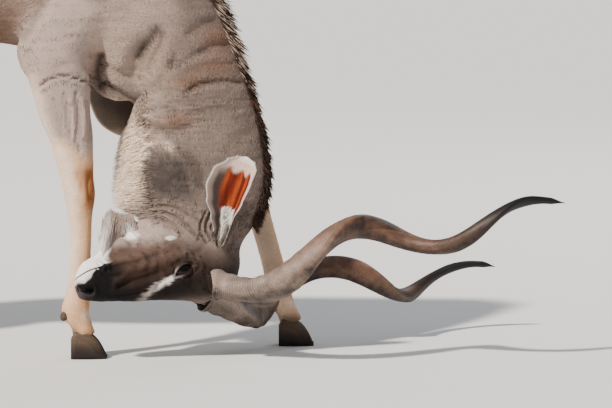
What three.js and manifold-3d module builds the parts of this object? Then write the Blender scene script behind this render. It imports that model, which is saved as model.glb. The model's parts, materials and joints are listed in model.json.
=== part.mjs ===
// Greater kudu bull, life size and still, with its head lowered, tucked in and upside down.
// Millimetres, +Z up. The animal faces +X, its right side faces -Y, and z = 0 is under its feet.
// The right forefoot stands near x = 0, and the last lines move the whole onto its middle.

import * as THREE from 'three';
import { mergeVertices } from 'three/addons/utils/BufferGeometryUtils.js';
import Module from 'manifold-3d';

const wasm = await Module();
wasm.setup();

// Driving dimensions
const gap = 0.3;
const kneeHeight = 443;
const elbowHeight = 815;
const hockHeight = 520;
const coronetHeight = 58;
const hoofCutHeight = 48;
const eyeRadius = 21;

const head = {
  nose: [0, -222, 182],
  yaw: 14.4,
  roll: 21,
  hornsBack: 365,
  hornsDeep: 8,
};

const horn = {
  spread: 59.2,
  outward: 14.95,
  backward: 6.55,
  reach: 957,
  coil: [58.8, 50.9, 24.7],
  start: -84.4,
  turns: 1.905,
  crowding: 1.109,
  keelLead: 38,
  root: 28,
};

const ear = {
  base: { back: 391, side: 72, deep: 112 },
  tip: { back: 452, side: 225, deep: 316 },
  thick: 5,
  forward: 26,
  root: 26,
};

const colours = {
  coat: 0x8f8378,
  coatDark: 0x6e6459,
  tan: 0x9a7a58,
  horn: 0x7d6f60,
  hoof: 0x2c2724,
  eye: 0x1a1310,
  ear: 0xb08a76,
};

const vector = (x, y, z) => new THREE.Vector3(x, y, z);
const radians = THREE.MathUtils.degToRad;
const mix = THREE.MathUtils.lerp;

// A draw of 0 to 1 that is the same on every run
let drawn = 7;
function draw() {
  drawn = (drawn * 16807) % 2147483647;
  return drawn / 2147483647;
}
const vary = (share) => 1 + share * (2 * draw() - 1);

// Solids from grids

// A closed surface as a solid, with its faces turned outward
function solid(geometry) {
  const merged = mergeVertices(geometry);
  const vertProperties = new Float32Array(merged.attributes.position.array);
  const triVerts = new Uint32Array(merged.index.array);
  let volume = 0;
  const corner = [vector(), vector(), vector()];
  for (let i = 0; i < triVerts.length; i += 3) {
    corner.forEach((c, k) => c.fromArray(vertProperties, 3 * triVerts[i + k]));
    volume += corner[0].dot(corner[1].clone().cross(corner[2]));
  }
  if (volume < 0) {
    for (let i = 0; i < triVerts.length; i += 3) {
      [triVerts[i], triVerts[i + 1]] = [triVerts[i + 1], triVerts[i]];
    }
  }
  return new wasm.Manifold(new wasm.Mesh({ numProp: 3, vertProperties, triVerts }));
}

// A sphere's grid bent to any closed form. place(turn, share) gives the point at a turn of 0 to 1
// round the form and a share of 0 to 1 of its length, and each end closes on its ring's middle.
function wrap(sides, rows, place) {
  const grid = new THREE.SphereGeometry(1, sides, rows);
  grid.deleteAttribute('normal');
  grid.deleteAttribute('uv');
  const spot = grid.attributes.position;
  for (let row = 0; row <= rows; row++) {
    const ring = [];
    for (let side = 0; side < sides; side++) ring.push(place(side / sides, row / rows));
    if (row === 0 || row === rows) {
      const middle = ring.reduce((sum, p) => sum.add(p), vector(0, 0, 0)).divideScalar(sides);
      ring.fill(middle);
    }
    for (let side = 0; side <= sides; side++) {
      spot.setXYZ(row * (sides + 1) + side, ...ring[side % sides].toArray());
    }
  }
  return solid(grid);
}

const tension = 0.5;
function curve(points) {
  return new THREE.CatmullRomCurve3(points.map((p) => vector(...p)), false, 'catmullrom', tension);
}
const power = (value, exponent) => Math.sign(value) * Math.abs(value) ** exponent;

// Muscles and bones that stand out from a surface. Each swell moves a point out from the middle by
// out * exp(-d * d), where d is the distance from its place in shares of its three sizes.
function swelled(point, middle, swells) {
  const way = point.clone().sub(middle).normalize();
  let out = 0;
  for (const swell of swells) {
    const away = point.clone().sub(swell.at);
    out += swell.out * Math.exp(-away.divide(swell.size).lengthSq());
  }
  return point.addScaledVector(way, out);
}

// A body form along stations of at (middle), back (which way its back faces) and size (reach to
// the back, reach to the front, half width). Sections are rounded squares of the given fullness,
// square to the path, or standing along the back's way where fanned is true.
const roundForm = { fullness: 2.2, narrowBack: 0, narrowFront: 0, swells: [], fanned: false };

function loftPlace(stations, shape) {
  const { fullness, narrowBack, narrowFront, swells, fanned } = { ...roundForm, ...shape };
  const middle = curve(stations.map((s) => s.at));
  const back = curve(stations.map((s) => s.back));
  const size = curve(stations.map((s) => s.size));
  return (turn, share) => {
    const along = middle.getTangent(share);
    const side = vector().crossVectors(along, back.getPoint(share)).normalize();
    const up = fanned ? back.getPoint(share).normalize() : vector().crossVectors(side, along).normalize();
    const reach = size.getPoint(share);
    const c = power(Math.cos(2 * Math.PI * turn), 2 / fullness);
    const s = power(Math.sin(2 * Math.PI * turn), 2 / fullness);
    const narrow = s > 0 ? 1 - narrowBack * s * s : 1 - narrowFront * s * s;
    const centre = middle.getPoint(share);
    const point = centre.clone()
      .addScaledVector(side, reach.z * c * narrow)
      .addScaledVector(up, (s > 0 ? reach.x : reach.y) * s);
    return swelled(point, centre, swells);
  };
}

// A loft's first and last rings lie close to its ends, which are nearly flat
function loft(stations, { sides = 20, rows = 24, ...shape } = {}) {
  const place = loftPlace(stations, shape);
  const flatEnd = 0.8;
  return wrap(sides, rows, (turn, share) => {
    const level = (share * rows - flatEnd) / (rows - 2 * flatEnd);
    return place(turn, THREE.MathUtils.clamp(level, 0, 1));
  });
}

// An egg with its three half axes along the columns of a turn
function egg(at, radii, turn = new THREE.Matrix4(), sides = 14, rows = 9) {
  return wrap(sides, rows, (around, share) => {
    const polar = Math.PI * share;
    const ring = Math.sin(polar);
    const point = vector(
      radii[0] * ring * Math.cos(2 * Math.PI * around),
      radii[1] * ring * Math.sin(2 * Math.PI * around),
      radii[2] * Math.cos(polar),
    );
    return point.applyMatrix4(turn).add(at);
  });
}

// A block whose near face has its middle at a point and looks against the given way
function beyond(point, way, { reach = 3000, wide = 3000, deep = 3000, grow = 0 } = {}) {
  const box = new THREE.BoxGeometry(wide + 2 * grow, deep + 2 * grow, reach + 2 * grow);
  box.deleteAttribute('normal');
  box.deleteAttribute('uv');
  box.translate(0, 0, reach / 2);
  const turn = new THREE.Quaternion().setFromUnitVectors(vector(0, 0, 1), way.clone().normalize());
  box.applyQuaternion(turn);
  box.translate(...point.toArray());
  return solid(box);
}

// A block between two corners
function block(low, high, grow = 0) {
  const box = new THREE.BoxGeometry(...high.map((h, i) => h - low[i] + 2 * grow));
  box.deleteAttribute('normal');
  box.deleteAttribute('uv');
  box.translate(...high.map((h, i) => (h + low[i]) / 2));
  return solid(box);
}

const join = (solids) => solids.reduce((sum, s) => sum.add(s));

function largest(body) {
  return body.decompose().reduce((best, s) => (s.volume() > best.volume() ? s : best));
}

// Trunk and neck in one form, from the rump to the throat. Each row is x and z of the back line,
// x and z of the belly or throat line, the middle's y and half the width.

const bodyRows = [
  [-1288, 1192, -1292, 1050, 0, 50],
  [-1252, 1262, -1256, 988, 0, 104],
  [-1160, 1352, -1160, 928, 0, 156],
  [-1030, 1406, -1030, 902, 0, 186],
  [-880, 1412, -880, 886, 0, 198],
  [-700, 1394, -700, 852, 0, 214],
  [-520, 1381, -520, 838, 0, 222],
  [-350, 1380, -350, 842, 0, 208],
  [-200, 1388, -205, 840, 0, 182],
  [-75, 1386, -90, 814, 0, 162],
  [35, 1354, -5, 768, 0, 150],
  [115, 1304, 58, 712, 0, 142],
  [186, 1228, 104, 692, 0, 134],
  [252, 1144, 132, 690, 0, 125],
  [318, 1042, 146, 684, -1, 115],
  [372, 948, 150, 666, -3, 107],
  [416, 846, 148, 638, -9, 102],
  [453, 746, 143, 602, -17, 98],
  [481, 653, 139, 560, -28, 94],
  [500, 562, 138, 516, -40, 91],
  [507, 482, 140, 478, -53, 88],
  [496, 416, 148, 442, -67, 86],
  [468, 352, 178, 396, -84, 80],
  [438, 298, 228, 338, -96, 64],
];
const bodyStations = bodyRows.map(([backX, backZ, frontX, frontZ, y, half]) => {
  const back = vector(backX - frontX, 0, backZ - frontZ);
  const reach = back.length() / 2;
  return {
    at: [(backX + frontX) / 2, y, (backZ + frontZ) / 2],
    back: back.normalize().toArray(),
    size: [reach, reach, half],
  };
});

// Legs

const forward = [1, 0, 0];

// A leg from its joints. Each row of the table lies between two joints, moved forward by a shift.
function legStations(joints, table) {
  return table.map(({ from, to, share, shift, size }) => {
    const at = vector(...joints[from]).lerp(vector(...joints[to]), share);
    return { at: [at.x + shift, at.y, at.z], back: forward, size };
  });
}

const foreTable = [
  { from: 'shoulder', to: 'elbow', share: 0.1, shift: 5, size: [92, 98, 56] },
  { from: 'shoulder', to: 'elbow', share: 0.6, shift: 20, size: [92, 104, 64] },
  { from: 'elbow', to: 'knee', share: 0.04, shift: 30, size: [84, 104, 60] },
  { from: 'elbow', to: 'knee', share: 0.22, shift: 26, size: [82, 88, 55] },
  { from: 'elbow', to: 'knee', share: 0.42, shift: 20, size: [72, 73, 49] },
  { from: 'elbow', to: 'knee', share: 0.6, shift: 16, size: [64, 60, 43] },
  { from: 'elbow', to: 'knee', share: 0.77, shift: 9, size: [54, 52, 38] },
  { from: 'elbow', to: 'knee', share: 0.9, shift: 3, size: [47, 45, 36] },
  { from: 'knee', to: 'fetlock', share: 0, shift: 0, size: [44, 44, 37] },
  { from: 'knee', to: 'fetlock', share: 0.13, shift: 1, size: [38, 38, 31] },
  { from: 'knee', to: 'fetlock', share: 0.3, shift: 4, size: [32, 33, 25] },
  { from: 'knee', to: 'fetlock', share: 0.62, shift: 5, size: [31, 32, 24] },
  { from: 'knee', to: 'fetlock', share: 0.86, shift: 2, size: [33, 35, 27] },
  { from: 'fetlock', to: 'coronet', share: 0, shift: -2, size: [36, 42, 31] },
  { from: 'fetlock', to: 'coronet', share: 0.5, shift: 0, size: [31, 31, 26] },
  { from: 'fetlock', to: 'coronet', share: 1, shift: 0, size: [34, 34, 30] },
];

const hindTable = [
  { from: 'hip', to: 'stifle', share: 0, shift: 0, size: [140, 150, 62] },
  { from: 'hip', to: 'stifle', share: 0.35, shift: -22, size: [150, 172, 84] },
  { from: 'hip', to: 'stifle', share: 0.7, shift: -38, size: [132, 150, 84] },
  { from: 'hip', to: 'stifle', share: 1, shift: -42, size: [92, 112, 68] },
  { from: 'stifle', to: 'hock', share: 0.28, shift: -12, size: [66, 76, 52] },
  { from: 'stifle', to: 'hock', share: 0.55, shift: -2, size: [46, 56, 40] },
  { from: 'stifle', to: 'hock', share: 0.82, shift: 2, size: [37, 50, 33] },
  { from: 'hock', to: 'fetlock', share: 0, shift: -2, size: [42, 46, 35] },
  { from: 'hock', to: 'fetlock', share: 0.13, shift: 0, size: [35, 38, 30] },
  { from: 'hock', to: 'fetlock', share: 0.33, shift: 0, size: [29, 31, 23] },
  { from: 'hock', to: 'fetlock', share: 0.66, shift: 0, size: [29, 30, 23] },
  { from: 'hock', to: 'fetlock', share: 0.88, shift: 0, size: [32, 34, 26] },
  { from: 'fetlock', to: 'coronet', share: 0, shift: -3, size: [35, 41, 30] },
  { from: 'fetlock', to: 'coronet', share: 0.5, shift: 0, size: [30, 30, 25] },
  { from: 'fetlock', to: 'coronet', share: 1, shift: 0, size: [33, 33, 29] },
];

const legs = [
  {
    name: 'front_right',
    table: foreTable,
    joints: {
      shoulder: [30, -108, 1040],
      elbow: [-96, -118, elbowHeight + 15],
      knee: [5, -100, kneeHeight],
      fetlock: [-3, -98, 128],
      coronet: [16, -98, coronetHeight],
    },
  },
  {
    name: 'front_left',
    table: foreTable,
    joints: {
      shoulder: [98, 118, 945],
      elbow: [96, 164, 672],
      knee: [462, 170, 418],
      fetlock: [540, 164, 136],
      coronet: [572, 162, coronetHeight],
    },
  },
  {
    name: 'hind_right',
    table: hindTable,
    joints: {
      hip: [-1075, -88, 1210],
      stifle: [-925, -140, 850],
      hock: [-1205, -130, hockHeight],
      fetlock: [-1196, -128, 130],
      coronet: [-1172, -128, coronetHeight],
    },
  },
  {
    name: 'hind_left',
    table: hindTable,
    joints: {
      hip: [-1065, 88, 1210],
      stifle: [-880, 140, 852],
      hock: [-1110, 132, hockHeight - 6],
      fetlock: [-1078, 130, 130],
      coronet: [-1052, 130, coronetHeight],
    },
  },
];

// Half a claw's section over the floor: shares of its half width and height
const clawSection = [[1, 0], [0.97, 0.45], [0.62, 0.9], [0, 1], [-0.62, 0.9], [-0.97, 0.45], [-1, 0], [0, 0]];
const claw = { heel: -36, toe: 60, height: 74, half: 16, apart: 18.5, splay: 0.05 };

// One claw of a cloven hoof, flat underneath, on the side given by 1 or -1
function clawSolid(coronet, side) {
  return wrap(clawSection.length, 6, (turn, share) => {
    const [across, up] = clawSection[Math.round(turn * clawSection.length) % clawSection.length];
    const x = mix(claw.heel, claw.toe, share);
    const height = claw.height * Math.max(0.1, 1 - share ** 3.6);
    const half = claw.half * (1 - 0.82 * share ** 2.6) * (share < 0.1 ? 0.8 : 1);
    const y = side * (claw.apart + claw.splay * x * (1 - 0.55 * share)) + half * across;
    return vector(coronet[0] + x, coronet[1] + y, height * up);
  });
}

// A leg with its claws, the two dewclaws behind the fetlock and, behind, the point of the hock
function legSolid({ table, joints }) {
  const parts = [loft(legStations(joints, table), { sides: 9, rows: 19, fullness: 2.15 })];
  for (const side of [1, -1]) {
    parts.push(clawSolid(joints.coronet, side));
    const dew = vector(...joints.fetlock).add(vector(-34, side * 15, -12));
    parts.push(egg(dew, [11, 8, 15], new THREE.Matrix4().makeRotationY(0.5), 6, 4));
  }
  if (joints.hock) {
    const hock = vector(...joints.hock);
    const calf = hock.clone().lerp(vector(...joints.stifle), 0.5).add(vector(-50, 0, 0));
    const tendon = calf.clone().lerp(hock, 0.6).add(vector(-16, 0, 14));
    parts.push(loft([
      { at: calf.toArray(), back: forward, size: [22, 18, 16] },
      { at: tendon.toArray(), back: forward, size: [18, 14, 13] },
      { at: hock.clone().add(vector(-40, 0, 42)).toArray(), back: forward, size: [24, 17, 18] },
      { at: hock.clone().add(vector(-32, 0, 0)).toArray(), back: forward, size: [24, 16, 20] },
      { at: hock.clone().add(vector(-22, 0, -50)).toArray(), back: forward, size: [16, 12, 16] },
    ], { sides: 7, rows: 7 }));
  }
  return join(parts);
}

// What stands out on the trunk, the same on both sides except where the left foreleg reaches forward

function swell(x, y, z, long, wide, high, out) {
  return { at: vector(x, y, z), size: vector(long, wide, high), out };
}

const trunkSwells = [
  ...[1, -1].flatMap((side) => {
    const reach = side > 0 ? 30 : 0;
    return [
      swell(-30 + reach, side * 120, 1150, 75, 90, 150, 30),
      swell(20 + reach, side * 130, 1010, 80, 90, 90, 22),
      swell(-95 + reach, side * 150, 960, 90, 90, 110, 20),
      swell(-1110, side * 150, 1150, 130, 90, 140, 26),
      swell(-960, side * 120, 1300, 70, 70, 60, 16),
      swell(-1270, side * 90, 1110, 60, 60, 70, 14),
      swell(-720, side * 200, 1230, 90, 60, 60, -14),
    ];
  }),
  swell(90, 0, 760, 80, 80, 70, 22),
];

const bodyShape = { fullness: 2.2, narrowBack: 0.24, narrowFront: 0.14, swells: trunkSwells, fanned: true };
const bodyPlace = loftPlace(bodyStations, bodyShape);

// Head, in its own directions: back from the nose, to the animal's right, and deep from the
// bridge of the nose to the chin

const headTurn = new THREE.Matrix4().makeRotationZ(radians(head.yaw))
  .multiply(new THREE.Matrix4().makeRotationX(radians(-head.roll)));
const backWay = vector(1, 0, 0).applyMatrix4(headTurn);
const rightWay = vector(0, -1, 0).applyMatrix4(headTurn);
const deepWay = vector(0, 0, 1).applyMatrix4(headTurn);

function headPoint(back, side, deep) {
  return vector(...head.nose)
    .addScaledVector(backWay, back)
    .addScaledVector(rightWay, side)
    .addScaledVector(deepWay, deep);
}

// Rows of back, top, bottom, half width above and half width at the jaw
const headRows = [
  [-1, 14, 62, 22, 14],
  [6, 0, 80, 36, 25],
  [20, -9, 94, 44, 32],
  [42, -14, 104, 47, 35],
  [66, -17, 116, 46, 35],
  [88, -18, 141, 46, 34],
  [112, -19, 172, 49, 35],
  [145, -20, 196, 54, 40],
  [188, -20, 208, 62, 46],
  [235, -20, 213, 72, 52],
  [282, -22, 214, 78, 58],
  [330, -22, 206, 78, 62],
  [380, -14, 188, 72, 62],
  [425, 12, 165, 62, 54],
  [452, 40, 135, 44, 40],
];

// What stands out on the head: brow and orbit, cheek, the bone under the eye, the seat of the horn,
// the ear's burr, the nostril's wing and the two lips, in back, side and deep with their sizes
const headSwells = [
  [282, 72, 26, 30, 40, 20, 13],
  [276, 74, 62, 30, 40, 14, 6],
  [252, 60, 122, 60, 60, 48, 13],
  [205, 62, 78, 50, 50, 14, 8],
  [372, 60, 6, 40, 50, 40, 16],
  [392, 66, 106, 34, 50, 38, 16],
  [20, 38, 12, 17, 26, 15, 5],
  [30, 40, 62, 34, 30, 8, 3],
  [30, 34, 90, 30, 30, 10, 3],
  [118, 48, 18, 60, 40, 26, -6],
  [135, 50, 108, 46, 40, 26, -8],
];

function skullSolid() {
  const outline = curve(headRows.map(([back, top, bottom]) => [back, top, bottom]));
  const widths = curve(headRows.map(([, , , above, below]) => [above, below, 0]));
  const swells = headSwells.flatMap(([back, side, ...others]) => (
    [side, -side].map((s) => swell(back, s, ...others))
  ));
  return wrap(18, 26, (turn, share) => {
    const line = outline.getPoint(share);
    const wide = widths.getPoint(share);
    const c = power(Math.cos(2 * Math.PI * turn), 0.86);
    const s = power(Math.sin(2 * Math.PI * turn), 0.86);
    const half = mix(wide.x, wide.y, THREE.MathUtils.smoothstep(s, -0.55, 0.85));
    const local = vector(line.x, half * c, mix(line.y, line.z, (s + 1) / 2));
    const centre = vector(line.x, 0, (line.y + line.z) / 2);
    return headPoint(...swelled(local, centre, swells).toArray());
  });
}

// An egg set in the head's own directions
function headEgg(back, side, deep, radii, sides = 12, rows = 8) {
  const turn = new THREE.Matrix4().makeBasis(backWay, rightWay, deepWay);
  return egg(headPoint(back, side, deep), radii, turn, sides, rows);
}

// The line of the mouth on one side: back and deep, from the front of the lips to the corner
const mouthLine = [[-6, 43], [6, 51], [22, 58], [40, 66], [58, 71], [82, 69]];
const mouth = curve(mouthLine.map(([back, deep]) => [back, 0, deep]));

function muzzleHalf(back) {
  return 20 + 27 * THREE.MathUtils.smoothstep(back, -8, 30) - 7 * THREE.MathUtils.smoothstep(back, 25, 90);
}

// The thin blade that cuts the line of the mouth in on one side
const lipGap = 2.2;
const lipDepth = { inner: -22, outer: 24 };

function mouthCut(side) {
  return wrap(4, 7, (turn, share) => {
    const spot = mouth.getPoint(mix(0.02, 1, share));
    const fade = Math.sin(Math.PI * mix(0.12, 0.97, share)) ** 0.4;
    const half = muzzleHalf(spot.x);
    const middle = half + (lipDepth.outer + lipDepth.inner) / 2;
    const wide = (lipDepth.outer - lipDepth.inner) / 2 * fade;
    return headPoint(
      spot.x,
      side * (middle + wide * Math.cos(2 * Math.PI * turn)),
      spot.z + lipGap * Math.sin(2 * Math.PI * turn),
    );
  });
}

const eyeSpot = { back: 281, side: 60, deep: 42 };

function eyeSolid(side, extra) {
  return headEgg(eyeSpot.back, side * eyeSpot.side, eyeSpot.deep, Array(3).fill(eyeRadius + extra), 10, 7);
}

// The almond opening between the lids. Its front corner, at the tear duct, is the nearer to the bridge
// of the nose, and its rear corner the deeper.
function lidOpening(side) {
  const slant = radians(31);
  return wrap(10, 4, (turn, share) => {
    const polar = Math.PI * share;
    const a = 23 * Math.sin(polar) * Math.cos(2 * Math.PI * turn);
    const b = 11 * Math.sin(polar) * Math.sin(2 * Math.PI * turn);
    const out = 30 * Math.cos(polar);
    return headPoint(
      eyeSpot.back + a * Math.cos(slant) - b * Math.sin(slant),
      side * (eyeSpot.side + 24 + out),
      eyeSpot.deep + a * Math.sin(slant) + b * Math.cos(slant),
    );
  });
}

// The lids stand round the eyeball as a low mound
function lidMound(side) {
  return headEgg(eyeSpot.back, side * (eyeSpot.side - 2), eyeSpot.deep, [31, 26, 22], 10, 6);
}

// Cuts that open the lids, nostrils and mouth, made once the whole body is joined
function headOpenings() {
  const cuts = [];
  for (const side of [1, -1]) {
    cuts.push(eyeSolid(side, gap), lidOpening(side));
    cuts.push(mouthCut(side));
    const turn = new THREE.Matrix4().makeBasis(backWay, rightWay, deepWay)
      .multiply(new THREE.Matrix4().makeRotationY(radians(23)))
      .multiply(new THREE.Matrix4().makeRotationZ(radians(side * 20)));
    cuts.push(egg(headPoint(19, side * 37, 5), [15, 8, 5], turn, 8, 5));
  }
  return cuts;
}

// Ears: a cup from its base to its tip, open toward the given way

// Its front edge is the fuller one, and its rear edge stands up straight to the tip
const earFront = [[0, 20], [0.12, 30], [0.28, 46], [0.42, 70], [0.59, 86], [0.76, 83], [0.9, 56], [1, 8]];
const earRear = [[0, 20], [0.12, 18], [0.31, 14], [0.51, 25], [0.73, 32], [0.9, 36], [1, 8]];
const earCup = [[0, 26], [0.2, 36], [0.45, 34], [0.7, 22], [0.88, 10], [1, 2]];

// The solid foot of the ear: height up its axis, reach to the opening, to the back and half width
const earStalk = [[-34, 24, 20, 22], [4, 24, 20, 25], [36, 14, 18, 25], [64, 2, 14, 16]];

function stepped(points, share) {
  const next = points.findIndex(([at]) => at >= share);
  if (next <= 0) return points[0][1];
  const [a, va] = points[next - 1];
  const [b, vb] = points[next];
  return mix(va, vb, THREE.MathUtils.smoothstep(share, a, b));
}

const earPlaces = [1, -1].map((side) => {
  const base = headPoint(ear.base.back, side * ear.base.side, ear.base.deep);
  const tip = side > 0
    ? headPoint(ear.tip.back, ear.tip.side, ear.tip.deep)
    : headPoint(ear.tip.back + 15, -ear.tip.side - 25, ear.tip.deep - 70);
  const open = side > 0 ? vector(-0.22, -0.97, 0.1) : vector(-0.5, 0.3, 0.75);
  return { side, base, tip, open };
});

function earSolid({ base, tip, open }, grow) {
  const axis = tip.clone().sub(base);
  const length = axis.length();
  axis.normalize();
  const across = vector().crossVectors(axis, open).normalize();
  const out = vector().crossVectors(across, axis).normalize();
  const rearward = Math.sign(across.dot(backWay));
  const shell = wrap(12, 9, (turn, share) => {
    const v = power(Math.cos(2 * Math.PI * turn), 0.9);
    const width = stepped(v * rearward > 0 ? earRear : earFront, share);
    const thick = (ear.thick * (share < 0.15 ? 2 : 1) + grow) * Math.sin(2 * Math.PI * turn);
    const cup = stepped(earCup, share) * (1 - v * v);
    return base.clone()
      .addScaledVector(axis, length * share + grow * share ** 9)
      .addScaledVector(across, width * v + grow * power(v, 9))
      .addScaledVector(out, thick - cup + ear.forward);
  });
  const stalk = loft(earStalk.map(([up, ...size]) => ({
    at: base.clone().addScaledVector(axis, up).toArray(),
    back: out.toArray(),
    size: size.map((reach) => reach + grow),
  })), { sides: 8, rows: 4 });
  return join([shell, stalk]);
}

// Horns: a helix round a straight axis, its coil closing toward the tip. The point at a share t is
// the base + axis * reach * t + coil(t) at an angle of start + turns * t ^ crowding, and the left
// horn mirrors the right.

const hornRadius = [
  [0, 46], [0.035, 41], [0.1, 33.5], [0.3, 30.5], [0.5, 26], [0.7, 19.5], [0.86, 14.5], [0.96, 8], [1, 1.2],
];

function hornFrame(side) {
  const lateral = rightWay.clone().multiplyScalar(side);
  const nose = backWay.clone().negate();
  const dorsal = deepWay.clone().negate();
  const outward = radians(horn.outward);
  const backward = radians(horn.backward);
  const axis = nose.clone().multiplyScalar(-Math.cos(outward) * Math.cos(backward))
    .addScaledVector(lateral, Math.sin(outward))
    .addScaledVector(dorsal, -Math.sin(backward) * Math.cos(outward))
    .normalize();
  const first = dorsal.clone().addScaledVector(axis, -dorsal.dot(axis)).normalize();
  const second = lateral.clone().addScaledVector(axis, -lateral.dot(axis));
  second.addScaledVector(first, -second.dot(first)).normalize();
  const base = headPoint(head.hornsBack, side * horn.spread, head.hornsDeep);
  return { axis, first, second, base };
}

function hornCoil({ first, second }, t) {
  const [wide, middle, tip] = horn.coil;
  const radius = t < 0.5 ? mix(wide, middle, t / 0.5) : mix(middle, tip, (t - 0.5) / 0.5);
  const angle = radians(horn.start) + 2 * Math.PI * horn.turns * Math.max(t, 0) ** horn.crowding;
  return first.clone().multiplyScalar(Math.cos(angle) * radius)
    .addScaledVector(second, Math.sin(angle) * radius);
}

function hornMiddle(frame, t) {
  return frame.base.clone()
    .addScaledVector(frame.axis, horn.reach * t)
    .add(hornCoil(frame, t))
    .sub(hornCoil(frame, 0));
}

function hornSolid(side, grow) {
  const frame = hornFrame(side);
  const step = 0.004;
  return wrap(8, 40, (turn, share) => {
    const t = mix(-0.03, 1, share);
    const along = hornMiddle(frame, t + step).sub(hornMiddle(frame, t - step)).normalize();
    const coil = hornCoil(frame, t).normalize();
    const out = coil.addScaledVector(along, -coil.dot(along)).normalize();
    const over = vector().crossVectors(along, out).multiplyScalar(side);
    const angle = 2 * Math.PI * turn;
    const lead = angle - radians(horn.keelLead);
    const section = 0.93 + 0.1 * Math.cos(2 * lead) + 0.14 * Math.max(0, Math.cos(lead)) ** 6;
    const radius = stepped(hornRadius, Math.max(t, 0)) * section + grow;
    return hornMiddle(frame, t)
      .addScaledVector(out, radius * Math.cos(angle))
      .addScaledVector(over, radius * Math.sin(angle));
  });
}

// Tail, hanging

const tailStations = [
  { at: [-1265, 0, 1205], back: [-0.5, 0, 1], size: [34, 40, 42] },
  { at: [-1305, 0, 1195], back: [-0.7, 0, 0.7], size: [30, 32, 36] },
  { at: [-1338, 0, 1150], back: [-1, 0, 0.2], size: [24, 24, 30] },
  { at: [-1350, 0, 1060], back: [-1, 0, 0], size: [19, 19, 25] },
  { at: [-1356, 0, 950], back: [-1, 0, 0], size: [15, 15, 20] },
  { at: [-1358, 0, 865], back: [-1, 0, 0], size: [11, 11, 14] },
  { at: [-1358, 0, 835], back: [-1, 0, 0], size: [6, 6, 8] },
];

// Long coat: flat locks that overlap along their lie

// One lock, on the bend from its sunk root past the point where it leaves the skin to its tip. Its
// wide side runs along the flat way, and it is widest near its middle and ends in a point.
const sinking = 9;
const lift = 0.4;
const trail = 0.85;

function lock({ root, out, lie, flat, length, half, rows = 4 }) {
  const start = root.clone().addScaledVector(out, -sinking - 0.1 * length);
  const turning = root.clone().addScaledVector(out, lift * length);
  const tip = turning.clone().addScaledVector(lie, trail * length);
  const path = new THREE.QuadraticBezierCurve3(start, turning, tip);
  return wrap(4, rows, (turn, share) => {
    const along = path.getTangent(share);
    const across = flat.clone().addScaledVector(along, -flat.dot(along)).normalize();
    const normal = vector().crossVectors(along, across);
    const wide = half * Math.sin(Math.PI * mix(0.3, 0.97, share));
    return path.getPoint(share)
      .addScaledVector(across, wide * Math.cos(2 * Math.PI * turn))
      .addScaledVector(normal, (0.36 * wide + 1.5) * Math.sin(2 * Math.PI * turn));
  });
}

// Rows of locks along the back line (turn 0.25) and the throat line (turn 0.75), in three columns
const crest = { from: 0.175, to: 0.42, count: 22, turn: 0.25, aside: 0.005, lean: 0.1, half: 23 };
const mane = { ...crest, from: 0.42, to: 0.885, count: 36, half: 20 };
const maneLength = [[0, 44], [0.2, 46], [0.32, 64], [0.42, 100], [0.5, 88], [0.6, 60], [0.7, 46], [0.9, 34]];
const fringe = { from: 0.49, to: 0.97, count: 31, turn: 0.75, aside: 0.02, lean: 0.25, half: 15 };
const fringeLength = [[0, 34], [0.55, 42], [0.64, 56], [0.86, 58], [0.94, 64], [1, 66]];

function lockRow({ from, to, count, turn, aside, lean, half }, lengths, lieOf) {
  const topSide = turn < 0.5 ? 1 : -1;
  return Array.from({ length: count }, (_, i) => {
    const share = mix(from, to, (i + 0.5) / count);
    const column = (i % 3) - 1;
    const root = bodyPlace(turn + aside * column * vary(0.3), share);
    const middle = bodyPlace(turn + 0.5, share).add(root).multiplyScalar(0.5);
    const along = bodyPlace(turn, Math.min(share + 0.01, 1)).sub(bodyPlace(turn, share - 0.01)).normalize();
    const out = root.clone().sub(middle).normalize();
    out.addScaledVector(vector(0, 1, 0), column * lean * topSide).normalize();
    const lie = lieOf(share, out, along);
    const length = stepped(lengths, share) * vary(0.15);
    return lock({ root, out, lie, flat: along, length, half: half * vary(0.15) });
  });
}

// On the trunk the crest lies back, and on the hanging neck it falls outward and down
function maneLie(share, out, along) {
  const fall = THREE.MathUtils.smoothstep(share, 0.4, 0.58);
  return along.clone().multiplyScalar(mix(-0.9, 0.8, fall)).addScaledVector(out, 0.4);
}

const fringeLie = (share, out) => out.clone().addScaledVector(vector(0, 0, -1), 0.3).normalize();

// The beard grows from under the chin and jaw and stands up, toward the throat. Each lock has its
// root's place back from the nose and to the side, and its length.
const beardLocks = [
  [80, 2, 26], [90, -13, 36], [93, 13, 38], [102, 0, 48], [110, -17, 52], [113, 15, 52],
  [121, 0, 56], [129, -18, 50], [132, 18, 50], [142, 0, 46], [150, -15, 38], [154, 15, 36],
];
const beardHalf = 17;

function beard() {
  const jaw = headRows.map(([back, , bottom]) => [back, bottom]);
  return beardLocks.map(([back, side, length]) => {
    const root = headPoint(back, side, stepped(jaw, back));
    const out = deepWay.clone()
      .addScaledVector(backWay, -0.3)
      .addScaledVector(rightWay, side * 0.012)
      .normalize();
    const lie = deepWay.clone().addScaledVector(backWay, -0.5).normalize();
    const half = beardHalf * vary(0.12);
    return lock({ root, out, lie, flat: backWay, length: length * vary(0.08), half, rows: 5 });
  });
}

const tuft = { count: 11, from: 0.55, to: 0.92, length: 92, half: 17, turn: 0.382 };

function tailTuft() {
  const place = loftPlace(tailStations);
  const down = vector(0, 0, -1);
  return Array.from({ length: tuft.count }, (_, i) => {
    const share = mix(tuft.from, tuft.to, i / (tuft.count - 1));
    const root = place(i * tuft.turn, share);
    const away = root.clone().sub(place(i * tuft.turn + 0.5, share)).normalize();
    const flat = vector().crossVectors(away, down);
    const out = away.clone().multiplyScalar(0.6).add(down).normalize();
    return lock({ root, out, lie: down, flat, length: tuft.length * vary(0.2), half: tuft.half });
  });
}

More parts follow.
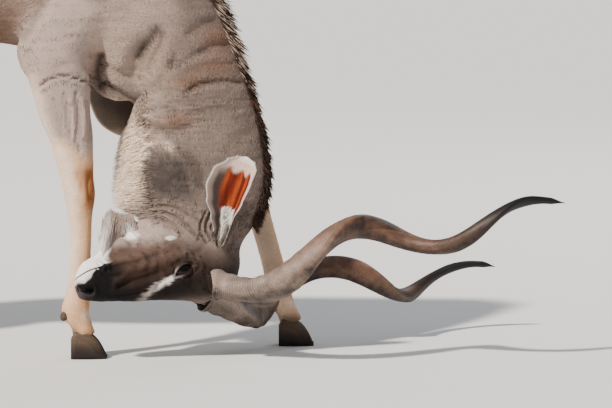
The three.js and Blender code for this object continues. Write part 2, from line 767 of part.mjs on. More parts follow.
function coatForms() {
  return [
    ...lockRow(crest, maneLength, maneLie),
    ...lockRow(mane, maneLength, maneLie),
    ...lockRow(fringe, fringeLength, fringeLie),
    ...beard(),
    ...tailTuft(),
  ];
}

// Ears and horns end in a cut across their root. The part before it is joined to the head, and the
// rest of each is a node of its own.
const rooted = [
  ...earPlaces.map((place) => {
    const axis = place.tip.clone().sub(place.base).normalize();
    return {
      name: place.side > 0 ? 'ear_right' : 'ear_left',
      form: (grow) => earSolid(place, grow),
      point: place.base.clone().addScaledVector(axis, ear.root),
      way: axis,
      colour: colours.ear,
      roughness: 0.9,
    };
  }),
  ...[1, -1].map((side) => {
    const { axis, base } = hornFrame(side);
    return {
      name: side > 0 ? 'horn_right' : 'horn_left',
      form: (grow) => hornSolid(side, grow),
      point: base.clone().addScaledVector(axis, horn.root),
      way: axis,
      colour: colours.horn,
      roughness: 0.55,
    };
  }),
];

function pastRoot({ point, way }, grow) {
  return beyond(point.clone().addScaledVector(way, -grow), way, { reach: 1200, wide: 500, deep: 500 });
}

let rest = join([
  wrap(18, 37, bodyPlace),
  ...coatForms(),
  ...legs.map(legSolid),
  skullSolid(),
  lidMound(1),
  lidMound(-1),
  ...rooted.map((piece) => piece.form(0).subtract(pastRoot(piece, 0))),
  loft(tailStations, { sides: 8, rows: 10 }),
]);
for (const cut of headOpenings()) rest = rest.subtract(cut);

const group = new THREE.Group();

function addNode(name, body, colour, roughness = 0.9) {
  const mesh = body.getMesh();
  const geometry = new THREE.BufferGeometry();
  geometry.setAttribute('position', new THREE.BufferAttribute(new Float32Array(mesh.vertProperties), 3));
  geometry.setIndex(new THREE.BufferAttribute(new Uint32Array(mesh.triVerts), 1));
  const node = new THREE.Mesh(geometry, new THREE.MeshStandardMaterial({ color: colour, roughness }));
  node.name = name;
  group.add(node);
}

// Takes from the rest what lies in a region and leaves the gap round it. region(grow) gives the
// region's solid, larger by the growth on every side.
function take(region) {
  const part = rest.intersect(region(0));
  rest = rest.subtract(region(gap));
  return part;
}

function takeOne(name, region, colour, roughness) {
  addNode(name, largest(take(region)), colour, roughness);
}

// Ears and horns beyond their roots
for (const piece of rooted) {
  addNode(piece.name, largest(piece.form(0).intersect(pastRoot(piece, 0))), piece.colour, piece.roughness);
  rest = rest.subtract(piece.form(2 * gap).intersect(pastRoot(piece, gap)));
}

// Feet: the cut at the coronet leans forward, and leaves the two claws apart
for (const { name, joints } of legs) {
  const [x, y] = joints.coronet;
  const way = vector(0.22, 0, -1);
  const foot = { reach: 90, wide: 170, deep: 90 };
  const claws = take((grow) => beyond(vector(x, y, hoofCutHeight + grow), way, foot));
  const sides = claws.decompose().sort((a, b) => a.boundingBox().min[1] - b.boundingBox().min[1]);
  sides.forEach((side, i) => addNode(`hoof_${name}_${i ? 'left' : 'right'}`, side, colours.hoof, 0.5));
}

const legCuts = {
  front_right: { x: [-260, 50], y: [-230, -52], lower: [-134, -52], knee: kneeHeight - 40, top: 776 },
  front_left: { x: [20, 700], y: [109, 260], lower: [109, 260], knee: 378, top: 728 },
  hind_right: { x: [-1400, -700], y: [-300, -40], lower: [-300, -40], knee: hockHeight - 55, top: 880 },
  hind_left: { x: [-1400, -700], y: [40, 300], lower: [40, 300], knee: hockHeight - 61, top: 880 },
};
for (const [name, { x, y, lower, knee, top }] of Object.entries(legCuts)) {
  const shank = (grow) => block([x[0], lower[0], 0], [x[1], lower[1], knee], grow);
  const arm = (grow) => block([x[0], y[0], knee], [x[1], y[1], top], grow);
  takeOne(`leg_${name}_lower`, shank, colours.tan);
  takeOne(`leg_${name}_upper`, arm, colours.coat);
}

takeOne('tail', (grow) => block([-1600, -100, 600], [-1312, 100, 1300], grow), colours.coatDark);

// Head, neck and trunk, each beyond a plane through a point, looking a way
const bodyCuts = [
  { name: 'head', at: [160, 0, 432], way: [-0.3, 0, -0.95], colour: colours.coat },
  { name: 'neck', at: [160, 0, 648], way: [0.16, 0, -0.99], colour: colours.coatDark },
  { name: 'neck_base', at: [212, 0, 1000], way: [0.944, 0, 0.33], colour: colours.coatDark },
];
for (const { name, at, way, colour } of bodyCuts) {
  const facing = vector(...way).normalize();
  takeOne(name, (grow) => beyond(vector(...at).addScaledVector(facing, -grow), facing), colour);
}
addNode('torso', largest(rest), colours.coat);

for (const side of [1, -1]) {
  addNode(side > 0 ? 'eye_right' : 'eye_left', eyeSolid(side, 0), colours.eye, 0.1);
}

// The origin goes under the middle of the whole
const box = new THREE.Box3().setFromObject(group);
const middle = box.getCenter(vector());
group.position.set(-middle.x, -middle.y, -box.min.z);

export default group;
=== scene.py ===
import json
import math

import bmesh
import bpy
import numpy as np
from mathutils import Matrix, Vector

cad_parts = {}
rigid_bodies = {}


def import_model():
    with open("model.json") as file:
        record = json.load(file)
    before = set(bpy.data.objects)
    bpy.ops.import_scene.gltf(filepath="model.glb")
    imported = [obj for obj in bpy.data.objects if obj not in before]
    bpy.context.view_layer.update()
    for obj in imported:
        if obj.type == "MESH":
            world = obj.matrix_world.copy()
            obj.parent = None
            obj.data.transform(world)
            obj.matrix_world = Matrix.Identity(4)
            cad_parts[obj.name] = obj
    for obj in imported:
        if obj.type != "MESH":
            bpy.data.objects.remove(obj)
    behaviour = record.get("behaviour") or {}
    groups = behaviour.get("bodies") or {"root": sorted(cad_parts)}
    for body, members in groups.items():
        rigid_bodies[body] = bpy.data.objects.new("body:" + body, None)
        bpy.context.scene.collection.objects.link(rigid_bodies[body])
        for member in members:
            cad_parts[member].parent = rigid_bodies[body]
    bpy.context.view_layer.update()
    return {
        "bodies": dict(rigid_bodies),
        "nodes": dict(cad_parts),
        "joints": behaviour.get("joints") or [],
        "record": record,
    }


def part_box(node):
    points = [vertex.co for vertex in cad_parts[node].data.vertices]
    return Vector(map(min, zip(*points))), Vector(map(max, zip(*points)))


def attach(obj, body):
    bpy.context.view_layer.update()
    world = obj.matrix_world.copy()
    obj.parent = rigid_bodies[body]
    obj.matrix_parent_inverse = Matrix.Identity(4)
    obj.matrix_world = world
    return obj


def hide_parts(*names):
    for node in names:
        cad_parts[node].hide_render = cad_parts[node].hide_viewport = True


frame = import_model()
mm = 0.001
dice = np.random.default_rng(20)

# Shapes are worked out with the right forefoot near x = 0, then moved onto the solids
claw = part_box("hoof_front_right_right")[0]
shift = np.array([claw.x + 0.0200, claw.y + 0.1319, 0.0])
print("frame loaded, shift", np.round(shift, 4))


def unit(v):
    # A vector over its length
    return v / np.maximum(np.linalg.norm(v, axis=-1, keepdims=True), 1e-12)


def ease(x, low, high):
    # 0 up to low, 1 from high on, and 3 t^2 - 2 t^3 between them
    t = np.clip((x - low) / (high - low), 0, 1)
    return t * t * (3 - 2 * t)


def power(value, exponent):
    # The size of a value to the exponent, with the value's sign
    return np.sign(value) * np.abs(value) ** exponent


def bell(x, width, exponent=2):
    # exp(-(x / width)^exponent)
    return np.exp(-(x / width) ** exponent)


def patch(x, z, long, high, exponent=2):
    # exp(-(x / long)^exponent - (z / high)^exponent)
    return np.exp(-(x / long) ** exponent - (z / high) ** exponent)


def tableAt(table, x):
    # Values at listed places, straight from one to the next
    at, value = np.array(table, float).T
    return np.interp(x, at, value)


def squared(way, normal):
    # The part of a direction that stands square to the normal
    return unit(way - (way * normal).sum(-1, keepdims=True) * normal)


def facing(way, toward):
    # The direction square to the way that lies nearest to another one
    return unit(np.cross(np.cross(way, toward), way))


def curvePoint(points, t):
    # A smooth curve through the points, evenly timed: a cubic between each two of them
    p = np.asarray(points, float)
    n = len(p) - 1
    p = np.vstack([2 * p[0] - p[1], p, 2 * p[-1] - p[-2]])
    x = np.clip(t, 0, 1) * n
    i = np.clip(np.floor(x).astype(int), 0, n - 1)
    w = (x - i)[..., None]
    a, b, c, d = p[i], p[i + 1], p[i + 2], p[i + 3]
    m, k = 0.5 * (c - a), 0.5 * (d - b)
    return ((2 * b - 2 * c + m + k) * w + (3 * c - 3 * b - 2 * m - k)) * w * w + m * w + b


def curveWay(points, t):
    # The direction from a little before to a little after each place of the curve
    before, after = np.maximum(t - 1e-3, 0), np.minimum(t + 1e-3, 1)
    return unit(curvePoint(points, after) - curvePoint(points, before))


def stepped(points, x):
    # Values at listed places, eased from one to the next
    at, value = np.array(points, float).T
    i = np.clip(np.searchsorted(at, x) - 1, 0, len(at) - 2)
    t = np.clip((x - at[i]) / (at[i + 1] - at[i]), 0, 1)
    return value[i] + (value[i + 1] - value[i]) * t * t * (3 - 2 * t)


def swelled(point, middle, swells):
    # Each swell moves a point away from the middle by out * exp(-d * d)
    out = np.zeros(point.shape[:-1])
    for x, y, z, long, wide, high, rise in swells:
        d = (point - np.array([x, y, z])) / np.array([long, wide, high])
        out += rise * np.exp(-(d * d).sum(-1))
    return point + unit(point - middle) * out[..., None]


def gridOf(sides, rows):
    # Turn and share, each from 0 to 1, on a grid of rows x sides
    share, turn = np.meshgrid(np.linspace(0, 1, rows), np.arange(sides) / sides, indexing="ij")
    return turn, share


def tube(grid):
    # A closed surface from a grid of rows x sides, with a fan at each end to a pole
    rows, sides, _ = grid.shape
    r, s = np.meshgrid(np.arange(rows - 1), np.arange(sides), indexing="ij")
    n = (s + 1) % sides
    low, high = r * sides, (r + 1) * sides
    quads = np.stack([low + s, low + n, high + n, high + s], -1).reshape(-1, 4)
    k, m = np.arange(sides), (np.arange(sides) + 1) % sides
    first, last, top = rows * sides, rows * sides + 1, (rows - 1) * sides
    fans = [[first, b, a] for a, b in zip(k, m)] + [[last, top + a, top + b] for a, b in zip(k, m)]
    points = np.vstack([grid.reshape(-1, 3), grid[0].mean(0), grid[-1].mean(0)])
    return points, quads.tolist() + fans


def joined(shapes):
    # Several closed surfaces in one list of points and faces
    points, faces, start = [], [], 0
    for p, f in shapes:
        points.append(p)
        faces += [[i + start for i in face] for face in f]
        start += len(p)
    return np.vstack(points), faces


def makeMesh(name, points, faces):
    # A mesh from points in metres, moved onto the solids
    mesh = bpy.data.meshes.new(name)
    mesh.from_pydata((points + shift).tolist(), [], faces)
    mesh.update()
    return mesh


def makeObject(name, mesh, smooth=True):
    # Puts a mesh into the scene, smooth or flat
    thing = bpy.data.objects.new(name, mesh)
    bpy.context.scene.collection.objects.link(thing)
    mesh.polygons.foreach_set("use_smooth", np.full(len(mesh.polygons), smooth))
    return thing


def turnOut(mesh):
    # Joins points that coincide and turns every face outward
    work = bmesh.new()
    work.from_mesh(mesh)
    bmesh.ops.remove_doubles(work, verts=work.verts, dist=1e-6)
    bmesh.ops.recalc_face_normals(work, faces=work.faces)
    work.to_mesh(mesh)
    work.free()


def pointsOf(mesh):
    # The points of a mesh, without the move onto the solids
    flat = np.empty(len(mesh.vertices) * 3, np.float32)
    mesh.vertices.foreach_get("co", flat)
    return flat.reshape(-1, 3).astype(float) - shift


def normalsOf(mesh):
    # The smooth normals of a mesh
    flat = np.empty(len(mesh.vertices) * 3, np.float32)
    mesh.vertex_normals.foreach_get("vector", flat)
    return flat.reshape(-1, 3).astype(float)


def setPoints(mesh, points):
    # Writes points back, moved onto the solids
    mesh.vertices.foreach_set("co", (points + shift).astype(np.float32).ravel())
    mesh.update()


def paint(mesh, name, colour):
    # Writes one colour for each point as an attribute
    layer = mesh.attributes.new(name, "FLOAT_COLOR", "POINT")
    full = np.ones((len(mesh.vertices), 4), np.float32)
    full[:, :3] = colour
    layer.data.foreach_set("color", full.ravel())


def makePiece(name, points, faces, colour, material, node=None):
    # A painted piece from points in mm. Where a node is named, the piece takes its place
    mesh = makeMesh(name, points * mm, faces)
    paint(mesh, "coat", colour)
    turnOut(mesh)
    thing = makeObject(name, mesh)
    mesh.materials.append(material)
    if node:
        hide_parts(node)
    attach(thing, "root")


def freeze(thing):
    # Applies the modifiers
    mesh = bpy.data.meshes.new_from_object(thing.evaluated_get(bpy.context.evaluated_depsgraph_get()))
    thing.modifiers.clear()
    old = thing.data
    thing.data = mesh
    bpy.data.meshes.remove(old)
    return mesh


# Camera, floor and light

view = {
    "target": (0.611, 0.0, 0.406), "distance": 12.0, "elevation": 6.0, "lens": 261.2, "sensor": 36.0,
    "clip": (0.5, 200),
}
studio = {
    "floor": (0.80, 0.79, 0.77, 1), "floorHalf": 60.0, "floorRoughness": 0.9,
    "world": (0.90, 0.94, 1.0, 1),
    "worldStrength": 0.45,
    "sun": {"way": (-0.52, -0.54, 0.66), "strength": 6.2, "angle": 3.0, "colour": (1.0, 0.93, 0.85)},
    "aim": (0.3, 0.0, 0.5),
    "rim": {"at": (3.5, 4.5, 4.0), "size": 3.0, "watts": 90, "colour": (0.93, 0.96, 1.0)},
}


def makeCamera():
    # Back from the target by the distance, along a line that rises by the elevation
    data = bpy.data.cameras.new("camera")
    data.lens, data.sensor_width = view["lens"], view["sensor"]
    data.clip_start, data.clip_end = view["clip"]
    camera = bpy.data.objects.new("camera", data)
    tilt = math.radians(view["elevation"])
    back = np.array([0, -math.cos(tilt), math.sin(tilt)])
    camera.location = np.array(view["target"]) + shift + view["distance"] * back
    camera.rotation_euler = (math.pi / 2 - tilt, 0, 0)
    bpy.context.scene.collection.objects.link(camera)
    bpy.context.scene.camera = camera


def makeLight(name, spec):
    # A square lamp that looks at the studio's aim
    data = bpy.data.lights.new(name, "AREA")
    data.size, data.energy, data.color = spec["size"], spec["watts"], spec["colour"]
    lamp = bpy.data.objects.new(name, data)
    lamp.location = np.array(spec["at"]) + shift
    way = Vector(np.array(studio["aim"]) - np.array(spec["at"]))
    lamp.rotation_euler = way.to_track_quat("-Z", "Y").to_euler()
    bpy.context.scene.collection.objects.link(lamp)


def plainMaterial(name, colour, roughness):
    # One colour and one roughness
    material = bpy.data.materials.new(name)
    material.use_nodes = True
    shader = material.node_tree.nodes["Principled BSDF"]
    shader.inputs["Base Color"].default_value = colour
    shader.inputs["Roughness"].default_value = roughness
    return material


def makeStudio():
    # Floor, world, rim lamp and sun
    half = studio["floorHalf"]
    corners = np.array([(-half, -half, 0), (half, -half, 0), (half, half, 0), (-half, half, 0)])
    floor = makeObject("floor", makeMesh("floor", corners, [(0, 1, 2, 3)]), smooth=False)
    floor.data.materials.append(plainMaterial("floor", studio["floor"], studio["floorRoughness"]))
    world = bpy.data.worlds.new("world")
    bpy.context.scene.world = world
    world.use_nodes = True
    world.node_tree.nodes["Background"].inputs["Color"].default_value = studio["world"]
    world.node_tree.nodes["Background"].inputs["Strength"].default_value = studio["worldStrength"]
    makeLight("rim", studio["rim"])
    spec = studio["sun"]
    data = bpy.data.lights.new("sun", "SUN")
    data.energy, data.color, data.angle = spec["strength"], spec["colour"], math.radians(spec["angle"])
    sun = bpy.data.objects.new("sun", data)
    sun.rotation_euler = Vector(spec["way"]).to_track_quat("Z", "Y").to_euler()
    bpy.context.scene.collection.objects.link(sun)


makeCamera()
makeStudio()
print("camera, floor and light are in")


# Sides and rows of each raw form of the skin

formGrids = {
    "trunk": (140, 300), "leg": (56, 220), "hock": (24, 30), "head": (120, 180), "ear": (32, 24),
    "tail": (28, 120),
}


# Trunk and neck in one form. Rows: back line x and z, belly or throat line x and z, y, half width

trunk = {
    "rows": [
        [-1288, 1192, -1292, 1050, 0, 50], [-1252, 1262, -1256, 988, 0, 104],
        [-1160, 1352, -1160, 928, 0, 156], [-1030, 1406, -1030, 902, 0, 186],
        [-880, 1412, -880, 886, 0, 198], [-700, 1394, -700, 852, 0, 214],
        [-520, 1381, -520, 838, 0, 222], [-350, 1380, -350, 842, 0, 208],
        [-200, 1388, -205, 840, 0, 182], [-75, 1386, -90, 814, 0, 162], [35, 1354, -5, 768, 0, 150],
        [115, 1304, 58, 712, 0, 142], [186, 1228, 104, 692, 0, 134], [252, 1144, 132, 690, 0, 125],
        [318, 1042, 146, 684, -1, 115], [372, 948, 150, 666, -3, 107],
        [416, 846, 148, 638, -9, 102], [453, 746, 143, 602, -17, 98], [481, 653, 139, 560, -28, 94],
        [500, 562, 138, 516, -40, 91], [507, 482, 140, 478, -53, 88], [496, 416, 148, 442, -67, 86],
        [468, 352, 178, 396, -84, 80], [438, 298, 228, 338, -96, 64],
    ],
    "fullness": 2.2, "narrowBack": 0.24, "narrowFront": 0.14,
}
rowTable = np.array(trunk["rows"], float)
backLine, frontLine, halfWidth = rowTable[:, 0:2], rowTable[:, 2:4], rowTable[:, 5]
trunkMiddle = np.stack([rowTable[:, [0, 2]].mean(1), rowTable[:, 4], rowTable[:, [1, 3]].mean(1)], -1)
rayX, rayZ = (backLine - frontLine).T
trunkRay = np.stack([rayX, 0 * halfWidth, rayZ], -1)
trunkReach = np.linalg.norm(trunkRay, axis=1) / 2
trunkUp = unit(trunkRay)


def bothSides(rows):
    # Every row twice, with y and with -y
    return [[x, s * y, z, *rest] for x, y, z, *rest in rows for s in (1, -1)]


trunkSwells = bothSides([
    [-1110, 150, 1150, 130, 90, 140, 26], [-960, 120, 1300, 70, 70, 60, 16],
    [-1270, 90, 1110, 60, 60, 70, 14], [-720, 200, 1230, 90, 60, 60, -14],
]) + [
    [-30, -120, 1150, 75, 90, 150, 30], [0, 120, 1150, 75, 90, 150, 30],
    [20, -130, 1010, 80, 90, 90, 22], [50, 130, 1010, 80, 90, 90, 22],
    [-95, -150, 960, 90, 90, 110, 7], [-65, 150, 960, 90, 90, 110, 7],
    [90, 0, 760, 80, 80, 70, 22],
]


def loftPoint(middle, up, size, turn, share, fullness=2.2, narrowBack=0.0, narrowFront=0.0,
              fanned=False):
    # Rounded square sections along a path: size is reach to the back, to the front and half width
    along = curveWay(middle, share)
    back = unit(curvePoint(up, share))
    side = unit(np.cross(along, back))
    rise = back if fanned else unit(np.cross(side, along))
    reach = curvePoint(size, share)
    c = power(np.cos(2 * np.pi * turn), 2 / fullness)
    s = power(np.sin(2 * np.pi * turn), 2 / fullness)
    wide = reach[..., 2] * c * (1 - np.where(s > 0, narrowBack, narrowFront) * s * s)
    high = np.where(s > 0, reach[..., 0], reach[..., 1]) * s
    centre = curvePoint(middle, share)
    return centre + side * wide[..., None] + rise * high[..., None], centre


def trunkPoint(turn, share):
    # Sections along the lines from the belly or throat to the back, then the swells
    size = np.stack([trunkReach, trunkReach, halfWidth], -1)
    point, centre = loftPoint(trunkMiddle, trunkUp, size, turn, share, trunk["fullness"],
                              trunk["narrowBack"], trunk["narrowFront"], fanned=True)
    return swelled(point, centre, trunkSwells)


def trunkPlace(point):
    # Where a point (mm) lies: share along the trunk, height from -1 at the belly or throat line to
    # 1 at the back line, side from -1 to 1, and how far it is outside. The share is how much of
    # the fan of section lines lies behind the point.
    steps = np.linspace(0, 1, 201)
    low, ray = curvePoint(frontLine, steps), curvePoint(backLine, steps) - curvePoint(frontLine, steps)
    ahead = np.zeros(len(point))
    for (lowX, lowZ), (rayX, rayZ) in zip(low, ray):
        ahead += rayX * (point[:, 2] - lowZ) - rayZ * (point[:, 0] - lowX) < 0
    share = np.clip((ahead - 0.5) / (len(steps) - 1), 0, 1)
    middle, up = curvePoint(trunkMiddle, share), unit(curvePoint(trunkUp, share))
    reach = curvePoint(np.stack([trunkReach, halfWidth], -1), share)
    height = ((point - middle) * up).sum(-1) / reach[:, 0]
    side = (point[:, 1] - middle[:, 1]) / reach[:, 1]
    full = trunk["fullness"]
    round_ = (np.abs(height) ** full + np.abs(side) ** full) ** (1 / full)
    return share, height, side, (round_ - 1) * reach[:, 1]


# Legs. Each row lies between two joints and is moved forward; sizes are back, front, half width

foreTable = [
    ["shoulder", "elbow", 0.1, 5, 92, 64, 52], ["shoulder", "elbow", 0.6, 20, 92, 93, 60],
    ["elbow", "knee", -0.02, 30, 86, 94, 58], ["elbow", "knee", 0.1, 28, 86, 84, 57],
    ["elbow", "knee", 0.22, 26, 86, 79, 54],
    ["elbow", "knee", 0.42, 20, 72, 73, 49], ["elbow", "knee", 0.6, 16, 64, 60, 43],
    ["elbow", "knee", 0.77, 9, 54, 52, 38], ["elbow", "knee", 0.9, 3, 47, 45, 36],
    ["knee", "fetlock", 0, 0, 44, 44, 37], ["knee", "fetlock", 0.13, 1, 38, 38, 31],
    ["knee", "fetlock", 0.3, 4, 32, 33, 25], ["knee", "fetlock", 0.62, 5, 31, 32, 24],
    ["knee", "fetlock", 0.86, 2, 33, 35, 27], ["fetlock", "coronet", 0, -2, 36, 42, 31],
    ["fetlock", "coronet", 0.5, 0, 31, 31, 26], ["fetlock", "coronet", 1, 0, 34, 34, 30],
]
hindTable = [
    ["hip", "stifle", 0, 0, 140, 150, 62], ["hip", "stifle", 0.35, -22, 150, 172, 84],
    ["hip", "stifle", 0.7, -38, 132, 150, 84], ["hip", "stifle", 1, -42, 92, 112, 68],
    ["stifle", "hock", 0.28, -12, 66, 76, 52], ["stifle", "hock", 0.55, -2, 46, 56, 40],
    ["stifle", "hock", 0.82, 2, 37, 50, 33], ["hock", "fetlock", 0, -2, 42, 46, 35],
    ["hock", "fetlock", 0.13, 0, 35, 38, 30], ["hock", "fetlock", 0.33, 0, 29, 31, 23],
    ["hock", "fetlock", 0.66, 0, 29, 30, 23], ["hock", "fetlock", 0.88, 0, 32, 34, 26],
    ["fetlock", "coronet", 0, -3, 35, 41, 30], ["fetlock", "coronet", 0.5, 0, 30, 30, 25],
    ["fetlock", "coronet", 1, 0, 33, 33, 29],
]
legs = {
    "front_right": {"table": foreTable, "shoulder": (30, -108, 1040), "elbow": (-96, -118, 830),
                    "knee": (5, -100, 443), "fetlock": (-3, -98, 128), "coronet": (16, -98, 58)},
    "front_left": {"table": foreTable, "shoulder": (92, 118, 945), "elbow": (88, 164, 672),
                   "knee": (462, 170, 418), "fetlock": (540, 164, 136), "coronet": (572, 162, 58)},
    "hind_right": {"table": hindTable, "hip": (-1075, -88, 1210), "stifle": (-925, -140, 850),
                   "hock": (-1205, -130, 520), "fetlock": (-1196, -128, 130),
                   "coronet": (-1172, -128, 58)},
    "hind_left": {"table": hindTable, "hip": (-1065, 88, 1210), "stifle": (-880, 140, 852),
                  "hock": (-1110, 132, 514), "fetlock": (-1078, 130, 130),
                  "coronet": (-1052, 130, 58)},
}


def legRows(leg):
    # Each row's middle is start * (1 - share) + end * share, moved forward
    middle, size = [], []
    for start, end, share, forward, *reach in leg["table"]:
        at = np.array(leg[start]) * (1 - share) + np.array(leg[end]) * share
        middle.append(at + [forward, 0, 0])
        size.append(reach)
    return np.array(middle), np.array(size, float)


for leg in legs.values():
    leg["middle"], leg["size"] = legRows(leg)


def legPoint(leg, turn, share):
    # Sections across the leg's path
    forward = np.tile([1.0, 0, 0], (len(leg["middle"]), 1))
    return loftPoint(leg["middle"], forward, leg["size"], turn, share, fullness=2.15)[0]


def legPlace(leg, point):
    # Share along the leg, turn round it and how far outside it a point (mm) lies, at its height
    steps = np.linspace(0, 1, 200)
    middle = curvePoint(leg["middle"], steps)
    order = np.argsort(middle[:, 2])
    share = np.interp(point[:, 2], middle[order, 2], steps[order])
    at, reach = curvePoint(leg["middle"], share), curvePoint(leg["size"], share)
    across, ahead = point[:, 1] - at[:, 1], point[:, 0] - at[:, 0]
    long = np.where(ahead > 0, reach[:, 0], reach[:, 1])
    round_ = np.hypot(ahead / long, across / reach[:, 2])
    turn = (np.arctan2(ahead / long, across / reach[:, 2]) / (2 * np.pi)) % 1
    return share, turn, (round_ - 1) * reach[:, 2]


heel = {
    "steps": [(-40, 0, 42), (-32, 0, 0), (-22, 0, -50)],
    "size": [[22, 18, 16], [18, 14, 13], [24, 17, 18], [24, 16, 20], [16, 12, 16]],
}


def hockShape(leg):
    # The heel bone behind the hock, from the calf down to the cannon
    hock = np.array(leg["hock"], float)
    calf = (np.array(leg["hock"]) + np.array(leg["stifle"])) / 2 + [-50, 0, 0]
    middle = [calf, calf * 0.4 + hock * 0.6 + [-16, 0, 14]] + [hock + step for step in heel["steps"]]
    turn, share = gridOf(*formGrids["hock"])
    forward = np.tile([1.0, 0, 0], (len(middle), 1))
    return loftPoint(np.array(middle), forward, np.array(heel["size"], float), turn, share)[0]


# Head, in its own directions: back from the nose, to the animal's right, and deep from the bridge
# of the nose to the chin. Rows: back, top, bottom, half width above and at the jaw

head = {
    "nose": (0, -222, 182), "yaw": 14.4, "roll": 21.0,
    "rows": [
        [-1, 14, 62, 22, 14], [6, 0, 80, 36, 25], [20, -9, 94, 44, 32], [42, -14, 104, 47, 35],
        [66, -17, 118, 46, 35], [88, -18, 148, 46, 34], [112, -19, 176, 49, 35],
        [145, -20, 196, 54, 40], [188, -20, 208, 62, 46], [235, -20, 213, 72, 52],
        [282, -22, 214, 78, 58], [330, -22, 206, 78, 62], [380, -14, 188, 72, 62],
        [425, 12, 165, 62, 54], [452, 40, 135, 44, 40],
    ],
    "swells": [
        [282, 72, 26, 30, 40, 20, 13], [276, 74, 62, 30, 40, 14, 6], [252, 60, 122, 60, 60, 48, 13],
        [205, 62, 78, 50, 50, 14, 8], [352, 74, 4, 30, 50, 50, 24], [-2, 12, 84, 24, 30, 24, -7],
        [392, 66, 106, 34, 50, 38, 16],
        [20, 38, 12, 17, 26, 15, 5], [30, 40, 62, 34, 30, 8, 3], [30, 34, 90, 30, 30, 10, 3],
        [118, 48, 18, 60, 40, 26, -6], [135, 50, 108, 46, 40, 26, -8],
    ],
}


def headFrame():
    # The head's directions, turned by the roll round its length, then by the yaw
    yaw, roll = math.radians(head["yaw"]), math.radians(-head["roll"])
    turnZ = np.array([[math.cos(yaw), -math.sin(yaw), 0], [math.sin(yaw), math.cos(yaw), 0], [0, 0, 1]])
    turnX = np.array([[1, 0, 0], [0, math.cos(roll), -math.sin(roll)],
                      [0, math.sin(roll), math.cos(roll)]])
    return turnZ @ turnX @ np.array([[1, 0, 0], [0, -1, 0], [0, 0, 1]])


headAxes = headFrame()  # columns: back, right, deep


def headPoint(back, side, deep):
    # nose + back, side and deep, each times its own direction
    return np.array(head["nose"]) + np.stack(np.broadcast_arrays(back, side, deep), -1) @ headAxes.T


def headLocal(point):
    # Back, side and deep of a point: (point - nose) along each direction
    return (point - np.array(head["nose"])) @ headAxes


def skullPoint(turn, share):
    # Sections between top and bottom, whose half width eases from the upper one to the jaw's
    rows = np.array(head["rows"], float)
    row = curvePoint(rows, share)
    c, s = power(np.cos(2 * np.pi * turn), 0.86), power(np.sin(2 * np.pi * turn), 0.86)
    half = row[..., 3] + (row[..., 4] - row[..., 3]) * ease(s, -0.55, 0.85)
    deep = row[..., 1] + (row[..., 2] - row[..., 1]) * (s + 1) / 2
    local = np.stack([row[..., 0], half * c, deep], -1)
    centre = np.stack([row[..., 0], 0 * c, (row[..., 1] + row[..., 2]) / 2], -1)
    local = swelled(local, centre, bothSides(head["swells"]))
    return headPoint(local[..., 0], local[..., 1], local[..., 2])


def headPlace(point):
    # Head directions of a point (mm) and how far it is outside the skull's plain section
    local = headLocal(point)
    rows = np.array(head["rows"], float)
    row = np.stack([np.interp(local[:, 0], rows[:, 0], rows[:, k]) for k in range(5)], -1)
    height = (local[:, 2] - (row[:, 1] + row[:, 2]) / 2) / ((row[:, 2] - row[:, 1]) / 2)
    half = row[:, 3] + (row[:, 4] - row[:, 3]) * ease(height, -0.55, 0.85)
    outside = (np.hypot(local[:, 1] / half, height) - 1) * half
    beyond = np.maximum(local[:, 0] - 470, 0) + np.maximum(-20 - local[:, 0], 0)
    return local, outside + beyond


# Ears, tail

ears = {
    "base": (391, 72, 112), "tip": {1: (452, 225, 316), -1: (467, -250, 246)}, "thick": 3.2,
    "forward": 26, "grid": (84, 72),
    "front": [[0, 9], [0.12, 25], [0.28, 46], [0.42, 70], [0.59, 83], [0.76, 77], [0.9, 49],
              [0.97, 26], [1, 6]],
    "rear": [[0, 7], [0.12, 12], [0.31, 14], [0.51, 25], [0.73, 32], [0.9, 35], [0.97, 26], [1, 6]],
    "cup": [[0, 26], [0.2, 36], [0.45, 34], [0.7, 22], [0.88, 10], [1, 2]],
    "stalk": [[-34, 24, 20, 22], [4, 24, 20, 25], [36, 14, 18, 25], [64, 2, 14, 16]],
    "open": {1: (-0.22, -0.97, 0.1), -1: (-0.5, 0.3, 0.75)},
}


def earFrame(side):
    # The ear's foot, its way to the tip, the way across, the way it opens, and its length
    base = headPoint(ears["base"][0], side * ears["base"][1], ears["base"][2])
    tip = headPoint(*ears["tip"][side])
    axis = unit(tip - base)
    across = unit(np.cross(axis, np.array(ears["open"][side])))
    return base, axis, across, unit(np.cross(across, axis)), np.linalg.norm(tip - base)


def earStalk(side):
    # The tube from the skull to the foot of the ear's cup
    base, axis, _, out, _ = earFrame(side)
    rows = np.array(ears["stalk"], float)
    turn, share = gridOf(*formGrids["ear"])
    middle = base + rows[:, :1] * axis
    return loftPoint(middle, np.tile(out, (len(rows), 1)), rows[:, 1:], turn, share)[0]


tail = {  # rows: middle, the way to the back, and reach to the back, to the front and half width
    "rows": [
        [-1265, 0, 1205, -0.5, 0, 1, 34, 40, 42], [-1305, 0, 1195, -0.7, 0, 0.7, 30, 32, 36],
        [-1338, 0, 1150, -1, 0, 0.2, 24, 24, 30], [-1350, 0, 1060, -1, 0, 0, 19, 19, 25],
        [-1356, 0, 950, -1, 0, 0, 15, 15, 20], [-1358, 0, 865, -1, 0, 0, 11, 11, 14],
        [-1358, 0, 835, -1, 0, 0, 6, 6, 8],
    ],
    "x": -1345, "thick": 26, "top": 1215, "rootX": -1300, "mapTop": 1230, "mapLong": 420,
}


def tailPoint(turn, share):
    # Sections along the rows of the tail
    rows = np.array(tail["rows"], float)
    return loftPoint(rows[:, 0:3], rows[:, 3:6], rows[:, 6:9], turn, share)[0]


# Skin: one closed surface, fused from the forms, evened out, then detailed

